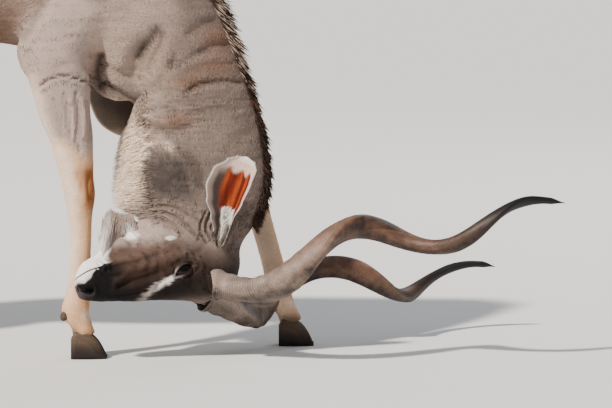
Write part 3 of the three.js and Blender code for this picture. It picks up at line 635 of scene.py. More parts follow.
skin = {
    "voxel": 0.0082, "evening": 4, "eveningBack": 0.52, "meeting": (8, 46), "meetingRounds": 30,
    "keptShare": 0.78, "coatDepth": 2.2,
    "hidden": {"behind": (190, 260), "above": (560, 640), "before": (-1262, -1240)},
    "eye": {"back": 282, "side": 60, "deep": 46, "radius": 25, "slant": 31, "long": 25, "high": 9.8},
    "nostril": [(0, 19), (11, 15), (24, 9), (35, 7)], "throat": ((175, 320), (375, 432)),
    "mouth": [(-8, 39), (4, 46), (20, 54), (38, 62), (54, 67), (68, 71), (78, 78)],
}


def rawForms():
    # The closed forms that the skin is fused from
    shapes = [tube(trunkPoint(*gridOf(*formGrids["trunk"])))]
    for leg in legs.values():
        shapes.append(tube(legPoint(leg, *gridOf(*formGrids["leg"]))))
        if "hock" in leg:
            shapes.append(tube(hockShape(leg)))
    shapes.append(tube(skullPoint(*gridOf(*formGrids["head"]))))
    shapes += [tube(earStalk(side)) for side in (1, -1)]
    shapes.append(tube(tailPoint(*gridOf(*formGrids["tail"]))))
    return shapes


def edgesOf(mesh):
    # The two points of every edge
    flat = np.empty(len(mesh.edges) * 2, np.int32)
    mesh.edges.foreach_get("vertices", flat)
    return flat.reshape(-1, 2)


def settled(points, edges, weight, rounds, back=0.0):
    # Moves each point half way to the middle of its neighbours, and then back by a share
    count = np.bincount(edges.ravel(), minlength=len(points))[:, None]
    first, last = edges.T
    for step in [0.5, -back] * rounds:
        total = np.stack([np.bincount(first, points[last, k], len(points))
                          + np.bincount(last, points[first, k], len(points)) for k in range(3)], -1)
        points = points + step * weight[:, None] * (total / count - points)
    return points


def outsideOf(point):
    # How far outside each form a point (mm) is: trunk, the four legs, head, tail
    far = [trunkPlace(point)[3]]
    for leg in legs.values():
        top, bottom = leg["middle"][:, 2].max(), leg["middle"][:, 2].min()
        above = np.maximum(point[:, 2] - top, 0) + np.maximum(bottom - point[:, 2], 0)
        far.append(legPlace(leg, point)[2] + above)
    far.append(headPlace(point)[1])
    around = np.hypot(point[:, 0] - tail["x"], point[:, 1]) - tail["thick"]
    above = np.maximum(point[:, 2] - tail["top"], 0)
    far.append(around + above + 400 * (point[:, 0] > tail["rootX"]))
    return np.stack(far, -1)


def strokeDistance(spot, path):
    # Distance of flat places to a smooth path through a few points
    line = curvePoint(np.array(path, float), np.linspace(0, 1, 6 * len(path)))
    best = np.full(len(spot), 1e9)
    for a, b in zip(line[:-1], line[1:]):
        t = np.clip(((spot - a) @ (b - a)) / max((b - a) @ (b - a), 1e-9), 0, 1)
        best = np.minimum(best, np.linalg.norm(spot - a - t[:, None] * (b - a), axis=1))
    return best


def eyePlace(local):
    # Along and across the slanting eye opening, and how far outside its edge (mm)
    eye = skin["eye"]
    slant = math.radians(eye["slant"])
    back, deep = local[:, 0] - eye["back"], local[:, 2] - eye["deep"]
    along = back * math.cos(slant) + deep * math.sin(slant)
    across = -back * math.sin(slant) + deep * math.cos(slant)
    lid = eye["high"] * np.maximum(1 - (along / eye["long"]) ** 2, 0) ** 0.75
    beyond = np.maximum(np.abs(along) - eye["long"], 0)
    gap = np.abs(across) - lid
    return along, across, np.hypot(np.maximum(gap, 0), beyond) - np.maximum(-gap, 0)


def refine(thing, wanted):
    # Splits the faces whose points are all wanted into four
    work = bmesh.new()
    work.from_mesh(thing.data)
    work.verts.ensure_lookup_table()
    edges = [e for e in work.edges if wanted[e.verts[0].index] and wanted[e.verts[1].index]]
    bmesh.ops.subdivide_edges(work, edges=edges, cuts=1, use_grid_fill=True)
    work.to_mesh(thing.data)
    work.free()


def makeSkin():
    # Fuses the forms and evens them out, most where the two nearest forms meet
    points, faces = joined(rawForms())
    thing = makeObject("skin", makeMesh("skin", points * mm, faces))
    fuse = thing.modifiers.new("fuse", "REMESH")
    fuse.mode, fuse.voxel_size = "VOXEL", skin["voxel"]
    mesh = freeze(thing)
    points = pointsOf(mesh) / mm
    far = np.sort(outsideOf(points), axis=1)
    meeting = 1 - ease(far[:, 1] - far[:, 0], *skin["meeting"])
    edges = edgesOf(mesh)
    points = settled(points, edges, np.ones(len(points)), skin["evening"], skin["eveningBack"])
    points = settled(points, edges, 0.9 * meeting, skin["meetingRounds"])
    setPoints(mesh, points * mm)
    print("skin fused:", len(mesh.vertices), "points")

    # Fewer faces on the trunk and thighs behind, more on the head, most at the eyes and the muzzle
    hidden = thing.vertex_groups.new(name="hidden")
    where = skin["hidden"]
    behind = ease(-points[:, 0], *where["behind"]) * ease(points[:, 2], *where["above"])
    behind = behind * ease(points[:, 0], *where["before"])
    hidden.add(np.flatnonzero(behind > 0.5).tolist(), 1.0, "REPLACE")
    thin = thing.modifiers.new("thin", "DECIMATE")
    thin.ratio, thin.vertex_group = skin["keptShare"], "hidden"
    freeze(thing)
    thing.vertex_groups.clear()
    throatLow, throatHigh = skin["throat"]
    for level in range(3):
        points = pointsOf(thing.data) / mm
        local, outside = headPlace(points)
        _, _, lid = eyePlace(local)
        flat = points[:, [0, 2]]
        throat = ((flat > throatLow) & (flat < throatHigh)).all(1) & (np.abs(local[:, 1]) > 30)
        if level == 0:
            onFace = (local[:, 0] < 430) & (local[:, 2] < 240) & (local[:, 0] > -30)
            wanted = (outside < 25) & onFace | throat
        elif level == 1:
            mouth = strokeDistance(local[:, [0, 2]], skin["mouth"]) < 16
            nostril = strokeDistance(local[:, [0, 2]], skin["nostril"]) < 20
            wanted = (outside < 25) & ((lid < 22) | ((mouth | nostril) & (local[:, 0] < 90)))
            wanted |= throat & (local[:, 1] > 0)
        else:
            wanted = (outside < 25) & (np.abs(lid) < 7)
        refine(thing, wanted)
    print("skin refined:", len(thing.data.vertices), "points")
    return thing


# Folds of the skin: paths over the side of the neck, chest and foreleg as x and z, with a width and
# a rise, which is negative for a crease

neckFolds = [
    ([(289, 714), (330, 738), (385, 746), (446, 738)], 7, -9),
    ([(262, 700), (330, 722), (400, 728), (470, 715)], 8, 4),
    ([(255, 790), (310, 812), (362, 838), (420, 842)], 10, -7),
    ([(240, 770), (300, 792), (360, 812), (428, 806)], 12, 4),
    ([(300, 872), (350, 900), (400, 906)], 11, -6),
    ([(150, 690), (190, 716), (230, 760), (262, 812)], 11, -6),
    ([(215, 668), (250, 705), (290, 730)], 10, 4), ([(176, 832), (160, 800), (150, 778)], 26, -20),
    ([(215, 850), (186, 812), (160, 792)], 15, 7), ([(235, 870), (212, 820), (190, 770)], 11, -5),
    ([(140, 668), (180, 650), (230, 640), (280, 660)], 9, 5),
    ([(150, 640), (200, 622), (250, 612), (300, 630)], 9, -7),
    ([(150, 612), (190, 600), (240, 604), (290, 596)], 9, 5),
    ([(180, 586), (230, 584), (270, 572)], 8, -6), ([(160, 655), (215, 676), (262, 668)], 8, -5),
    ([(300, 660), (360, 676), (430, 668)], 7, -4), ([(300, 690), (370, 700), (450, 690)], 6, -3),
    ([(310, 640), (380, 650), (460, 640)], 6, -3),
    ([(206, 570), (262, 560), (300, 520), (312, 470)], 9, 4),
    ([(300, 560), (330, 520), (336, 470)], 9, -4), ([(70, 738), (108, 716), (154, 690)], 7, -9),
    ([(72, 792), (120, 760), (160, 748)], 8, -7), ([(60, 812), (54, 775), (62, 735)], 15, -12),
    ([(-66, 990), (-104, 925), (-134, 876)], 16, -8),
]
throatFolds = [
    ([(184, 415), (211, 422), (243, 423), (289, 415), (338, 402)], 4.2, 4),
    ([(181, 407), (211, 414), (249, 412), (292, 398), (332, 377)], 4, -3),
    ([(181, 399), (214, 407), (254, 400), (289, 380), (332, 342)], 3.2, 5),
    ([(184, 391), (216, 399), (254, 389), (289, 366), (324, 334)], 3.4, -3.4),
    ([(186, 384), (219, 391), (251, 380), (284, 357), (316, 328)], 3.2, 5),
    ([(189, 376), (219, 381), (249, 369), (278, 347)], 3.4, -3.4),
    ([(195, 369), (219, 372), (246, 358), (270, 339)], 3.2, 5),
    ([(230, 431), (270, 431), (314, 420)], 4.4, 3.4),
    ([(351, 402), (338, 374), (338, 347), (351, 326)], 3.2, 5),
    ([(359, 399), (346, 374), (346, 350), (359, 328)], 3.4, -3.4),
    ([(368, 393), (354, 369), (354, 350), (368, 331)], 3.2, 5),
    ([(342, 399), (330, 372), (330, 345), (343, 323)], 3.4, -3.4),
    ([(332, 391), (322, 366), (322, 342)], 3.2, 5),
]
legFolds = [
    ([(-98, 738), (-66, 758), (-20, 764), (42, 742)], 3.8, -7),
    ([(0, 720), (6, 660), (2, 600), (8, 560)], 5, -4),
    ([(-66, 990), (-108, 915), (-140, 866)], 16, -12), ([(-30, 715), (-22, 650), (-18, 600)], 7, -3),
    ([(16, 700), (22, 650), (20, 600)], 5, 3), ([(-14, 700), (-8, 650), (-6, 600)], 5, 3),
    ([(28, 690), (34, 640), (34, 590)], 5, -4), ([(-60, 700), (-46, 650), (-38, 600)], 7, -2),
    ([(-46, 790), (0, 800), (40, 780)], 12, -3), ([(36, 510), (30, 470), (36, 430)], 6, -4),
]
headFolds = [
    ([(61, 80), (67, 70), (64, 58)], 4.4, -2.5), ([(72, 86), (81, 74), (80, 60)], 5, -3),
    ([(66, 82), (74, 71), (72, 59)], 4, 2), ([(61, 54), (86, 78), (103, 89)], 4, 2),
    ([(86, 92), (95, 80), (93, 64)], 6, -3), ([(70, 48), (92, 42), (116, 44)], 5, -3),
    ([(95, 66), (118, 73), (158, 79), (215, 93)], 8, -7),
    ([(100, 20), (115, 32), (140, 51), (157, 56), (205, 62)], 9, 5),
    ([(113, 15), (153, 27), (173, 31), (214, 42)], 8, -7),
    ([(97, 4), (140, 8), (185, 13), (225, 16)], 8, 4), ([(120, 90), (165, 102), (210, 112)], 10, 3),
    ([(90, -10), (140, -8), (185, -4)], 7, -4),
    ([(64, 92), (110, 105), (164, 112), (218, 106)], 12, -3),
    ([(150, 98), (164, 84), (160, 62)], 7, -3), ([(174, 96), (182, 76), (174, 58)], 9, 3),
    ([(190, 92), (197, 74), (190, 54)], 8, -3), ([(116, 176), (140, 152), (152, 128)], 7, -4),
    ([(132, 182), (154, 162), (170, 138)], 7, 3), ([(254, 60), (284, 73), (318, 76)], 5, -3),
    ([(259, 17), (292, 26), (324, 50)], 5, -3), ([(246, 34), (230, 22), (212, 10)], 5, -3),
    ([(300, 86), (330, 98), (352, 122)], 9, -4), ([(238, 70), (262, 84), (300, 92)], 12, 4),
]


def fold(spot, folds, soft=0.0):
    # Sum of high * exp(-(distance / width)^2) over the folds near each place. Where soft is set, a
    # wide fold counts for less
    rise = np.zeros(len(spot))
    for path, width, high in folds:
        reach = 2.6 * width
        low, top = np.min(path, axis=0) - reach, np.max(path, axis=0) + reach
        near = np.flatnonzero(((spot > low) & (spot < top)).all(1))
        if near.size:
            share = min(1.0, soft / width) if soft else 1.0
            rise[near] += share * high * bell(strokeDistance(spot[near], path), width)
    return rise


def wave(point, size, seed=0):
    # Smooth random blotches of one size, from -1 to 1
    table = np.random.default_rng(7).uniform(-1, 1, 4096)
    p = point / size + 31.7 * (seed + 1)
    i = np.floor(p).astype(np.int64)
    f = p - i
    f = f * f * (3 - 2 * f)
    total = np.zeros(len(p))
    for corner in np.ndindex(2, 2, 2):
        c = i + np.array(corner)
        value = table[(c[:, 0] * 73856093 ^ c[:, 1] * 19349663 ^ c[:, 2] * 83492791) & 4095]
        total += value * np.prod(np.where(np.array(corner) == 1, f, 1 - f), axis=1)
    return total


def wrinkles(point, far, soft=0.0):
    # How far the folds and the fine cross ripples raise each point of the skin (mm), and how much of
    # it is on the head
    share, height, _, _ = trunkPlace(point)
    local = headLocal(point)
    onHead = 1 - ease(far[:, 5] - np.min(far[:, [0, 1, 2]], axis=1), -14, 14)
    onNeck = (1 - onHead) * ease(share, 0.27, 0.34) * (1 - ease(np.abs(height), 0.86, 1.0))
    near = [1 - ease(far[:, k] - np.minimum(far[:, 0], far[:, 5]), -12, 12) for k in (1, 2)]
    flat = point[:, [0, 2]]
    rise = fold(flat, neckFolds, soft) * onNeck * (1 - near[0]) * (1 - near[1])
    rise += fold(flat, legFolds, soft) * near[0]
    ripple = onNeck * ease(flat[:, 0], 150, 300) * ease(flat[:, 1], 400, 540)
    ripple = ripple * (1 - ease(flat[:, 1], 880, 980))
    rise += 2.0 * ripple * wave(point * np.array([0.11, 0.3, 1.0]), 7.5, 1)
    rise += 1.3 * onNeck * wave(point * np.array([0.3, 0.5, 1.0]), 13, 2)
    onCheek = onHead * ease(np.abs(local[:, 1]), 14, 30)
    onThroat = ease(np.abs(local[:, 1]), 24, 44)
    rise += fold(flat, throatFolds, soft) * onThroat * (1 - near[0]) * (1 - near[1])
    return rise + fold(local[:, [0, 2]], headFolds, soft) * onCheek, onHead


def detail(point, normal):
    # Moves the points (mm) of the skin in by the coat's depth, and in and out at its folds
    rise, onHead = wrinkles(point, outsideOf(point))
    rise = rise - skin["coatDepth"] + 1.2 * wave(point, 46, 3)
    rise = rise + 2.2 * (1 - onHead) * wave(point, 120, 4)
    rise += 0.7 * onHead * wave(point, 14, 5)
    return carved(point + normal * rise[:, None], onHead)


def carved(point, onHead):
    # Mouth line, nostrils and the opening of the lids, cut in towards the middle of the head
    local = headLocal(point)
    sign = np.where(local[:, 1] >= 0, 1.0, -1.0)
    out = np.abs(local[:, 1])
    spot = local[:, [0, 2]]
    mouth = strokeDistance(spot, skin["mouth"])
    lips = 1.2 * bell(mouth - 7, 5) - 4.0 * bell(mouth, 1.7)
    out = out + lips * (local[:, 0] < 88)
    nostril = strokeDistance(spot, skin["nostril"])
    wing = 3.4 * bell(nostril - 13, 4) - 20 * bell(nostril, 7.4, 4)
    out = out + wing * ease(out, 10, 22) * (local[:, 0] < 60)
    eye = skin["eye"]
    along, across, lid = eyePlace(local)
    ball = np.sqrt(np.maximum(eye["radius"] ** 2 - along ** 2 - across ** 2, 0))
    ball = np.where(along ** 2 + across ** 2 < eye["radius"] ** 2, ball, 0)
    behindBall = eye["side"] + ball - 7
    rim = eye["side"] + ball + 1.9
    lidTop = behindBall + (rim - behindBall) * ease(lid, -2.2, 0.4)
    lidTop = lidTop - 1.4 * bell(lid - 7, 2.2) + 0.8 * bell(lid - 3, 2)
    out = out + (lidTop - out) * (1 - ease(lid, 2, 15)) * (lid < 19) * (out > 30)
    changed = headPoint(local[:, 0], sign * out, local[:, 2])
    return point + (changed - point) * onHead[:, None]


# Colours and markings, the same for the skin and for every tuft that grows on it

def ink(code):
    # A hex colour in linear light
    value = np.array([int(code[i:i + 2], 16) for i in (0, 2, 4)]) / 255
    return np.where(value < 0.04045, value / 12.92, ((value + 0.055) / 1.055) ** 2.4)


# Tones. Bridge, muzzle, umber, soot, dim and nape are also laid below as painted shade, and light as
# painted light, where the layers say so
tones = {name: ink(code) for name, code in {
    "grey": "988880", "warm": "a18a7c", "dim": "75665e", "brown": "74523e", "nape": "4b3f39",
    "black": "1e1a1a", "cream": "fde4cc", "tan": "d3a67e", "orange": "93562a", "paleTan": "e6cdb6",
    "white": "f3efea", "cheek": "a6948a", "mauve": "57443b", "bridge": "150d08", "muzzle": "0f0a08",
    "pad": "453d40", "umber": "2b1c15", "light": "b29b90", "rust": "c4622c", "soot": "0a0808",
    "throat": "332d2a", "belly": "705646", "lidRing": "b9ada6", "red": "762408", "pink": "d9b8a8",
}.items()}


def over(colour, name, amount):
    # colour + (tone - colour) * amount
    share = np.broadcast_to(np.clip(amount, 0, 1), (len(colour),))
    return colour + (tones[name] - colour) * share[:, None]


def washed(name, count, layers):
    # One plain tone for all points, with each layer laid over it in turn
    colour = np.tile(tones[name], (count, 1))
    for layer, amount in layers:
        colour = over(colour, layer, amount)
    return colour


trunkMarks = {
    "stripes": (-980, -190, 8),  # first x, last x and count
    "neckPatches": [(385, 855, 62, 34), (372, 782, 62, 26), (300, 742, 50, 22), (260, 640, 46, 22)],
    "throat": (246, 488, 84, 70),
    "creamEdge": [(396, 176), (454, 178), (505, 170), (557, 190), (609, 184), (660, 150), (700, 112)],
    "hollowShade": [(214, 884), (190, 850), (168, 814)], "armpitShade": [(62, 812), (54, 770), (62, 722)],
    "brisketShade": [(70, 738), (108, 716), (154, 690)], "lock": [(184, 576), (215, 588), (252, 572)],
}
headMarks = {
    "chinEnd": [(40, 30), (66, 74), (81, 88), (114, 92), (159, 97), (187, 102), (215, 110)],
    "lipEdge": [(-5, 24), (17, 25), (34, 38), (52, 64)],
    "cheekSpots": [((155, 154), (20, 13), 0.95), ((255, 137), (13, 7), 0.8)],
    "bar": [(252, 27), (230, 16), (208, 6), (181, -11), (160, -26)],
    "barWide": [(150, 7), (190, 8), (225, 10), (262, 6)],
}


def flankStripes(point, height):
    # Thin white lines down each side, each a little bent and broken
    amount = np.zeros(len(point))
    for i, x in enumerate(np.linspace(*trunkMarks["stripes"])):
        bend = 16 * np.sin(height * 2.3 + i * 1.7) + 9 * wave(point, 70, 11 + i)
        line = bell(point[:, 0] - x - 34 * height - bend, 6.5, 4)
        low = -0.45 + 0.3 * math.sin(i * 2.1)
        broken = 0.72 + 0.28 * wave(point, 24, 5)
        amount = np.maximum(amount, line * ease(height, low, low + 0.25) * broken)
    return amount


def trunkColour(point):
    # Grey flanks, dark nape, pale chest, the cream and dark marks of the throat, and painted shade on
    # the neck, behind the head, in the hollow, the armpit, under the brisket and on the flank, with
    # painted light on the shoulder
    share, height, _, _ = trunkPlace(point)
    x, z, flat = point[:, 0], point[:, 2], point[:, [0, 2]]
    blotch = wave(point, 62, 1) + 0.5 * wave(point, 26, 2)
    neck = ease(share, 0.44, 0.56)
    low = 1 - ease(z, 430, 620)
    behind = -78 - x + 0.55 * (z - 973)
    flankShadeAndBrown = ease(behind, 0, 46) * (1 - ease(behind, 150, 420)) * (1 - ease(height, -0.2, 0.6))
    nearNape = x - 0.2 * (z - 600)
    hollowShade = strokeDistance(flat, trunkMarks["hollowShade"]) + 4 * wave(point, 9, 24)
    ragged = 10 * wave(point * np.array([0.25, 1, 1.0]), 9, 3)
    edge = tableAt(trunkMarks["creamEdge"], z)
    creamy = neck * (1 - ease(x - edge - ragged, -18, 12)) * (1 - ease(z, 672, 716))
    lock = bell(strokeDistance(flat, trunkMarks["lock"]), 9)
    shadeX, shadeZ, shadeLong, shadeHigh = trunkMarks["throat"]
    shade = neck * patch(x - shadeX, z - shadeZ, shadeLong, shadeHigh, 4)
    return washed("grey", len(point), [
        ("warm", 0.5 + 0.5 * blotch),
        ("brown", (0.26 + 0.16 * blotch) * (1 - ease(x, -260, 120))),
        ("belly", ease(-height, 0.5, 0.92) * (1 - ease(share, 0.42, 0.5))),
        ("white", 0.85 * flankStripes(point, height) * (x < -120)),
        # The dark nape: partly the coat's own dark band, partly painted shade
        ("nape", neck * ease(height, 0.3, 0.9) * (0.75 + 0.25 * blotch)),
        ("nape", neck * low * ease(height, -0.1, 0.55) * (0.8 + 0.2 * blotch)),
        # Painted shade on the neck low behind the head
        ("nape", 0.85 * neck * (1 - ease(z, 300, 440)) * ease(x, 320, 400)),
        ("black", (0.5 + 0.3 * low) * neck * ease(height, 0.72, 0.98)),
        # The flank behind the shoulder: browner, and darkened with painted shade
        ("belly", 0.6 * flankShadeAndBrown * (1 - neck)),
        # Painted shade over the neck
        ("dim", 0.9 * neck * ease(nearNape, 150, 260) * (0.85 + 0.15 * blotch)),
        # Painted light on the shoulder
        ("light", 0.9 * patch(x + 20, z - 960, 115, 140)),
        # More painted shade over the neck
        ("dim", 0.75 * ease(share, 0.32, 0.42) * ease(nearNape, 170, 250) * (0.8 + 0.2 * blotch)),
        ("light", 0.4 * patch(x - 110, z - 770, 50, 50)),
        *[("brown", 0.62 * patch(x - atX, z - atZ, long, high) * neck)
          for atX, atZ, long, high in trunkMarks["neckPatches"]],
        # Painted shade in the hollow between the shoulder and the neck
        ("bridge", 0.8 * bell(hollowShade, 17)),
        # Painted shade in the armpit
        ("bridge", 0.8 * bell(strokeDistance(flat, trunkMarks["armpitShade"]), 12)),
        # Painted shade along the crease under the brisket
        ("bridge", 0.6 * bell(strokeDistance(flat, trunkMarks["brisketShade"]), 6)),
        ("throat", shade * (0.86 + 0.14 * wave(point, 7, 9))),
        ("cream", np.maximum(creamy, 0.6 * lock * neck)),
    ])


def legColour(leg, point):
    # Grey above and tan below, orange in front of the knee, dark at the foot, with painted shade in the
    # armpit and on the far foreleg's inner side
    share, turn, _ = legPlace(leg, point)
    z = point[:, 2] + 16 * wave(point, 30, 4)
    ahead, fore = np.sin(2 * np.pi * turn), "knee" in leg
    middle = curvePoint(leg["middle"], share)
    inner = (point[:, 1] - middle[:, 1]) * np.sign(-middle[:, 1])
    tanTop, tanLow = (596 - 30 * ahead, 536 - 30 * ahead) if fore else (560, 430)
    low = 1 - ease(z, tanLow, tanTop)
    paleBack = ("paleTan", 0.8 * ease(-ahead, 0.45, 0.95) * ease(820 - z, 10, 120))
    layers = [
        ("grey", 0.3 + 0.5 * wave(point, 55, 6)),
        paleBack if fore else ("brown", 0.3),
        ("tan", low),
        ("paleTan", 0.85 * low * ease(-ahead, -0.5, 0.6) * ease(z, 60, 300)),
        ("paleTan", 0.6 * low * ease(inner, 5, 25)),
    ]
    if fore:
        front = ease(ahead + 0.25 * wave(point * np.array([1, 1, 0.3]), 11, 8), -0.1, 0.5)
        # Painted shade on the inner side of the far foreleg
        shaded = ease(inner, 4, 26) * (point[:, 1] > 0)
        layers += [
            ("orange", 0.9 * front * ease(z, 370, 430) * (1 - ease(z, 490, 540))),
            # Painted shade in the armpit
            ("bridge", 0.8 * bell(strokeDistance(point[:, [0, 2]], trunkMarks["armpitShade"]), 12)),
            ("dim", 0.5 * shaded * ease(z, 120, 180)),
            ("bridge", 0.8 * shaded * ease(z, 540, 620)),
        ]
    return washed("light", len(point), layers + [
        ("orange", 0.35 * (1 - ease(z, 160, 300)) * ease(ahead, -0.4, 0.6)),
        ("muzzle", 0.75 * (1 - ease(z, 58, 92))),
        ("paleTan", 0.7 * bell(z - 112, 16) * ease(ahead, -0.2, 0.7)),
    ])


def headColour(point):
    # Dark bridge and muzzle, deepened with painted shade on the side turned down, grey cheek, white
    # chin, lip, spots and bar, and painted shade in the nostrils, behind the eye and on the far cheek
    local = headLocal(point)
    back, out, deep, spot = local[:, 0], np.abs(local[:, 1]), local[:, 2], local[:, [0, 2]]
    # The far side's cheek tone is a little weaker: painted shade on the far side
    near = np.where(local[:, 1] > 0, 1.0, 0.94)
    blur = 6 * wave(point, 14, 7) + 4 * wave(point * np.array([0.5, 1, 1]), 6, 8)
    fleck = wave(point * np.array([0.45, 0.7, 1]), 3.4, 25)
    streak = blur + 5 * wave(point * np.array([0.4, 0.6, 1]), 3.2, 22)
    speck = wave(point, 4, 23)
    snout = (1 - ease(back + 0.3 * deep + blur, 92, 152)) * (1 - ease(deep, 70, 90))

    # White chin and upper lip, with the mouth line between them
    mouth, nostril = strokeDistance(spot, skin["mouth"]), strokeDistance(spot, skin["nostril"])
    line = curvePoint(np.array(skin["mouth"], float), np.linspace(0, 1, 40))
    below = deep - np.interp(back, line[:, 0], line[:, 1])
    chinEnd = tableAt(headMarks["chinEnd"], deep)
    chin = ease(below, 1, 4) * (1 - ease(back - chinEnd + 0.8 * blur, -10, 8))
    lip = deep - tableAt(headMarks["lipEdge"], back) + 0.4 * blur
    beard = ease(deep, 176, 205) * ease(back, 66, 84) * (1 - ease(back, 128, 160))

    # Eye ring, and the white bar from the eye toward the bridge of the nose
    along, _, lid = eyePlace(local)
    onSide = ease(out, 30, 42)
    ring = bell(lid - 5, 3) * onSide
    bar = strokeDistance(spot, headMarks["bar"])
    wide = tableAt(headMarks["barWide"], back)
    bright = 0.68 * ease(back + streak, 200, 226) * (1 - ease(back, 246, 262))

    def cheekSpot(at, size, amount):
        round_ = np.hypot((back - at[0]) / size[0], (deep - at[1]) / size[1]) + 0.03 * blur
        return amount * (1 - ease(round_ + 0.05 * speck, 0.5, 1.4)) * (out > 20)

    return washed("mauve", len(point), [
        ("cheek", ease(deep + blur, 106, 158) * near),
        ("umber", 0.5 * ease(back, 215, 285) * (1 - ease(deep + blur, 138, 182))),
        ("umber", 0.22 * np.clip(fleck, 0, 1) * ease(deep, 40, 80)),
        ("dim", 0.4 * ease(back, 240, 330) * ease(deep, 30, 80)),
        # Darker upper face: partly its own brown, partly painted shade on the side turned down
        ("umber", 0.9 * ease(94 - deep + blur, 0, 48) * ease(back, 80, 125)),
        ("umber", 0.8 * ease(back, 292, 345) * (1 - ease(deep - 0.35 * (back - 345), 96, 150))),
        # Dark behind the eye toward the ear: partly the coat's own dark band, partly painted shade
        ("nape", 0.85 * ease(back + blur, 342, 396)),
        # Bridge and muzzle: partly their own dark brown, partly painted shade on the side turned down
        ("bridge", ease(30 - deep + 0.06 * back + blur, 0, 34)),
        ("bridge", 0.9 * (1 - ease(deep, 30, 84)) * ease(back, 300, 340)),
        ("muzzle", snout),
        ("muzzle", 0.85 * patch(back - 98, deep - 56, 32, 24)),
        ("white", chin),
        ("white", 0.95 * ease(lip, -2, 7) * (1 - ease(below, -1.5, 0)) * (back < 60)),
        ("dim", 0.3 * ease(lip, -2, 7) * (1 - ease(lip, 7, 18)) * (back < 40)),
        ("pad", (1 - ease(back + 0.35 * deep, 10, 24)) * (1 - ease(deep, 26, 38))),
        ("soot", 0.75 * (1 - ease(mouth, 0.4, 1.8)) * (back < 74)),
        # The nostril holes painted black: painted shade inside them
        ("soot", (1 - ease(nostril, 7, 10.5)) * (out > 13)),
        ("pad", 0.6 * bell(nostril - 12.5, 2.5) * (deep < 12) * (back < 44)),
        ("dim", 0.55 * beard),
        *[("white", cheekSpot(*mark)) for mark in headMarks["cheekSpots"]],
        ("umber", 0.6 * bell(lid, 16) * onSide * ease(along, -18, 4)),
        ("lidRing", (0.06 + 0.44 * ease(-along, 6, 24)) * ring),
        ("soot", 0.95 * (1 - ease(lid, 1.0, 3.0)) * onSide),
        ("lidRing", 0.62 * (1 - ease(bar - wide + 0.8 * streak, -6, 5)) * ease(back, 150, 190)),
        ("white", bright * (1 - ease(bar - 0.7 * wide + 0.7 * streak, -5, 4))),
        ("soot", 0.5 * patch(back - 240, deep + 2, 50, 9) * (bar > wide)),
        ("cheek", 0.5 * (1 - ease(np.hypot(back - 372, deep - 128), 16, 34)) * ease(out, 50, 66)),
    ])


def tailColour(point):
    # Brown behind, white in front and black at the tip
    return washed("brown", len(point), [
        ("white", 0.9 * ease(point[:, 0], -1352, -1338)),
        ("black", 1 - ease(point[:, 2], 880, 930)),
    ])


def shareOfForms(far, blend=9.0):
    # exp(-(distance outside the form) / blend), over the sum for all forms
    weight = np.exp(-(far - far.min(1, keepdims=True)) / blend)
    return weight / weight.sum(1, keepdims=True)


def markings(point, far):
    # Each form's colour by its share, times a grain, with painted shade in the creases and painted
    # light on the folds
    weight = shareOfForms(far)
    colour = weight[:, :1] * trunkColour(point)
    for k, leg in enumerate(legs.values()):
        colour = colour + weight[:, k + 1:k + 2] * legColour(leg, point)
    colour = colour + weight[:, 5:6] * headColour(point) + weight[:, 6:7] * tailColour(point)
    grain = 1 + 0.07 * wave(point, 5, 20) + 0.06 * wave(point, 13, 21)
    # The folds' rise paints shade into the creases and light onto the raised folds
    rise, onHead = wrinkles(point, far, 5.0)
    grain *= 1 + np.clip((0.06 + 0.012 * onHead) * rise, -0.5, 0.34)
    return np.clip(colour * grain[:, None], 0.004, 0.96)


# The lie of the coat: from the head to the tail on the trunk, down the legs and the tail, and from
# the nose backward on the head

def lieOf(point, normal, far):
    # Each form's own way by its share, stirred a little and laid square to the normal
    share, height, _, _ = trunkPlace(point)
    weight = shareOfForms(far, 14.0)
    trunkLie = -curveWay(trunkMiddle, share)
    trunkLie[:, 2] -= 0.35 * (1 - ease(share, 0.4, 0.5))
    throat = ease(share, 0.5, 0.6) * ease(-height, 0.3, 0.75)
    trunkLie = trunkLie * (1 - throat)[:, None] + throat[:, None] * np.array([-1, 0, -0.35])
    down = np.array([0.12, 0, -1.0])
    lie = weight[:, :1] * trunkLie + weight[:, 1:5].sum(1, keepdims=True) * down
    lie = lie + weight[:, 5:6] * (headAxes[:, 0] + 0.25 * headAxes[:, 2]) + weight[:, 6:7] * down
    swirl = np.stack([wave(point, 34, 30 + k) for k in range(3)], -1)
    lie = lie + 0.22 * swirl + 0.10 * dice.normal(size=lie.shape)
    return squared(lie, normal)


# Tufts: closed three-sided blades, joined in one mesh from arrays

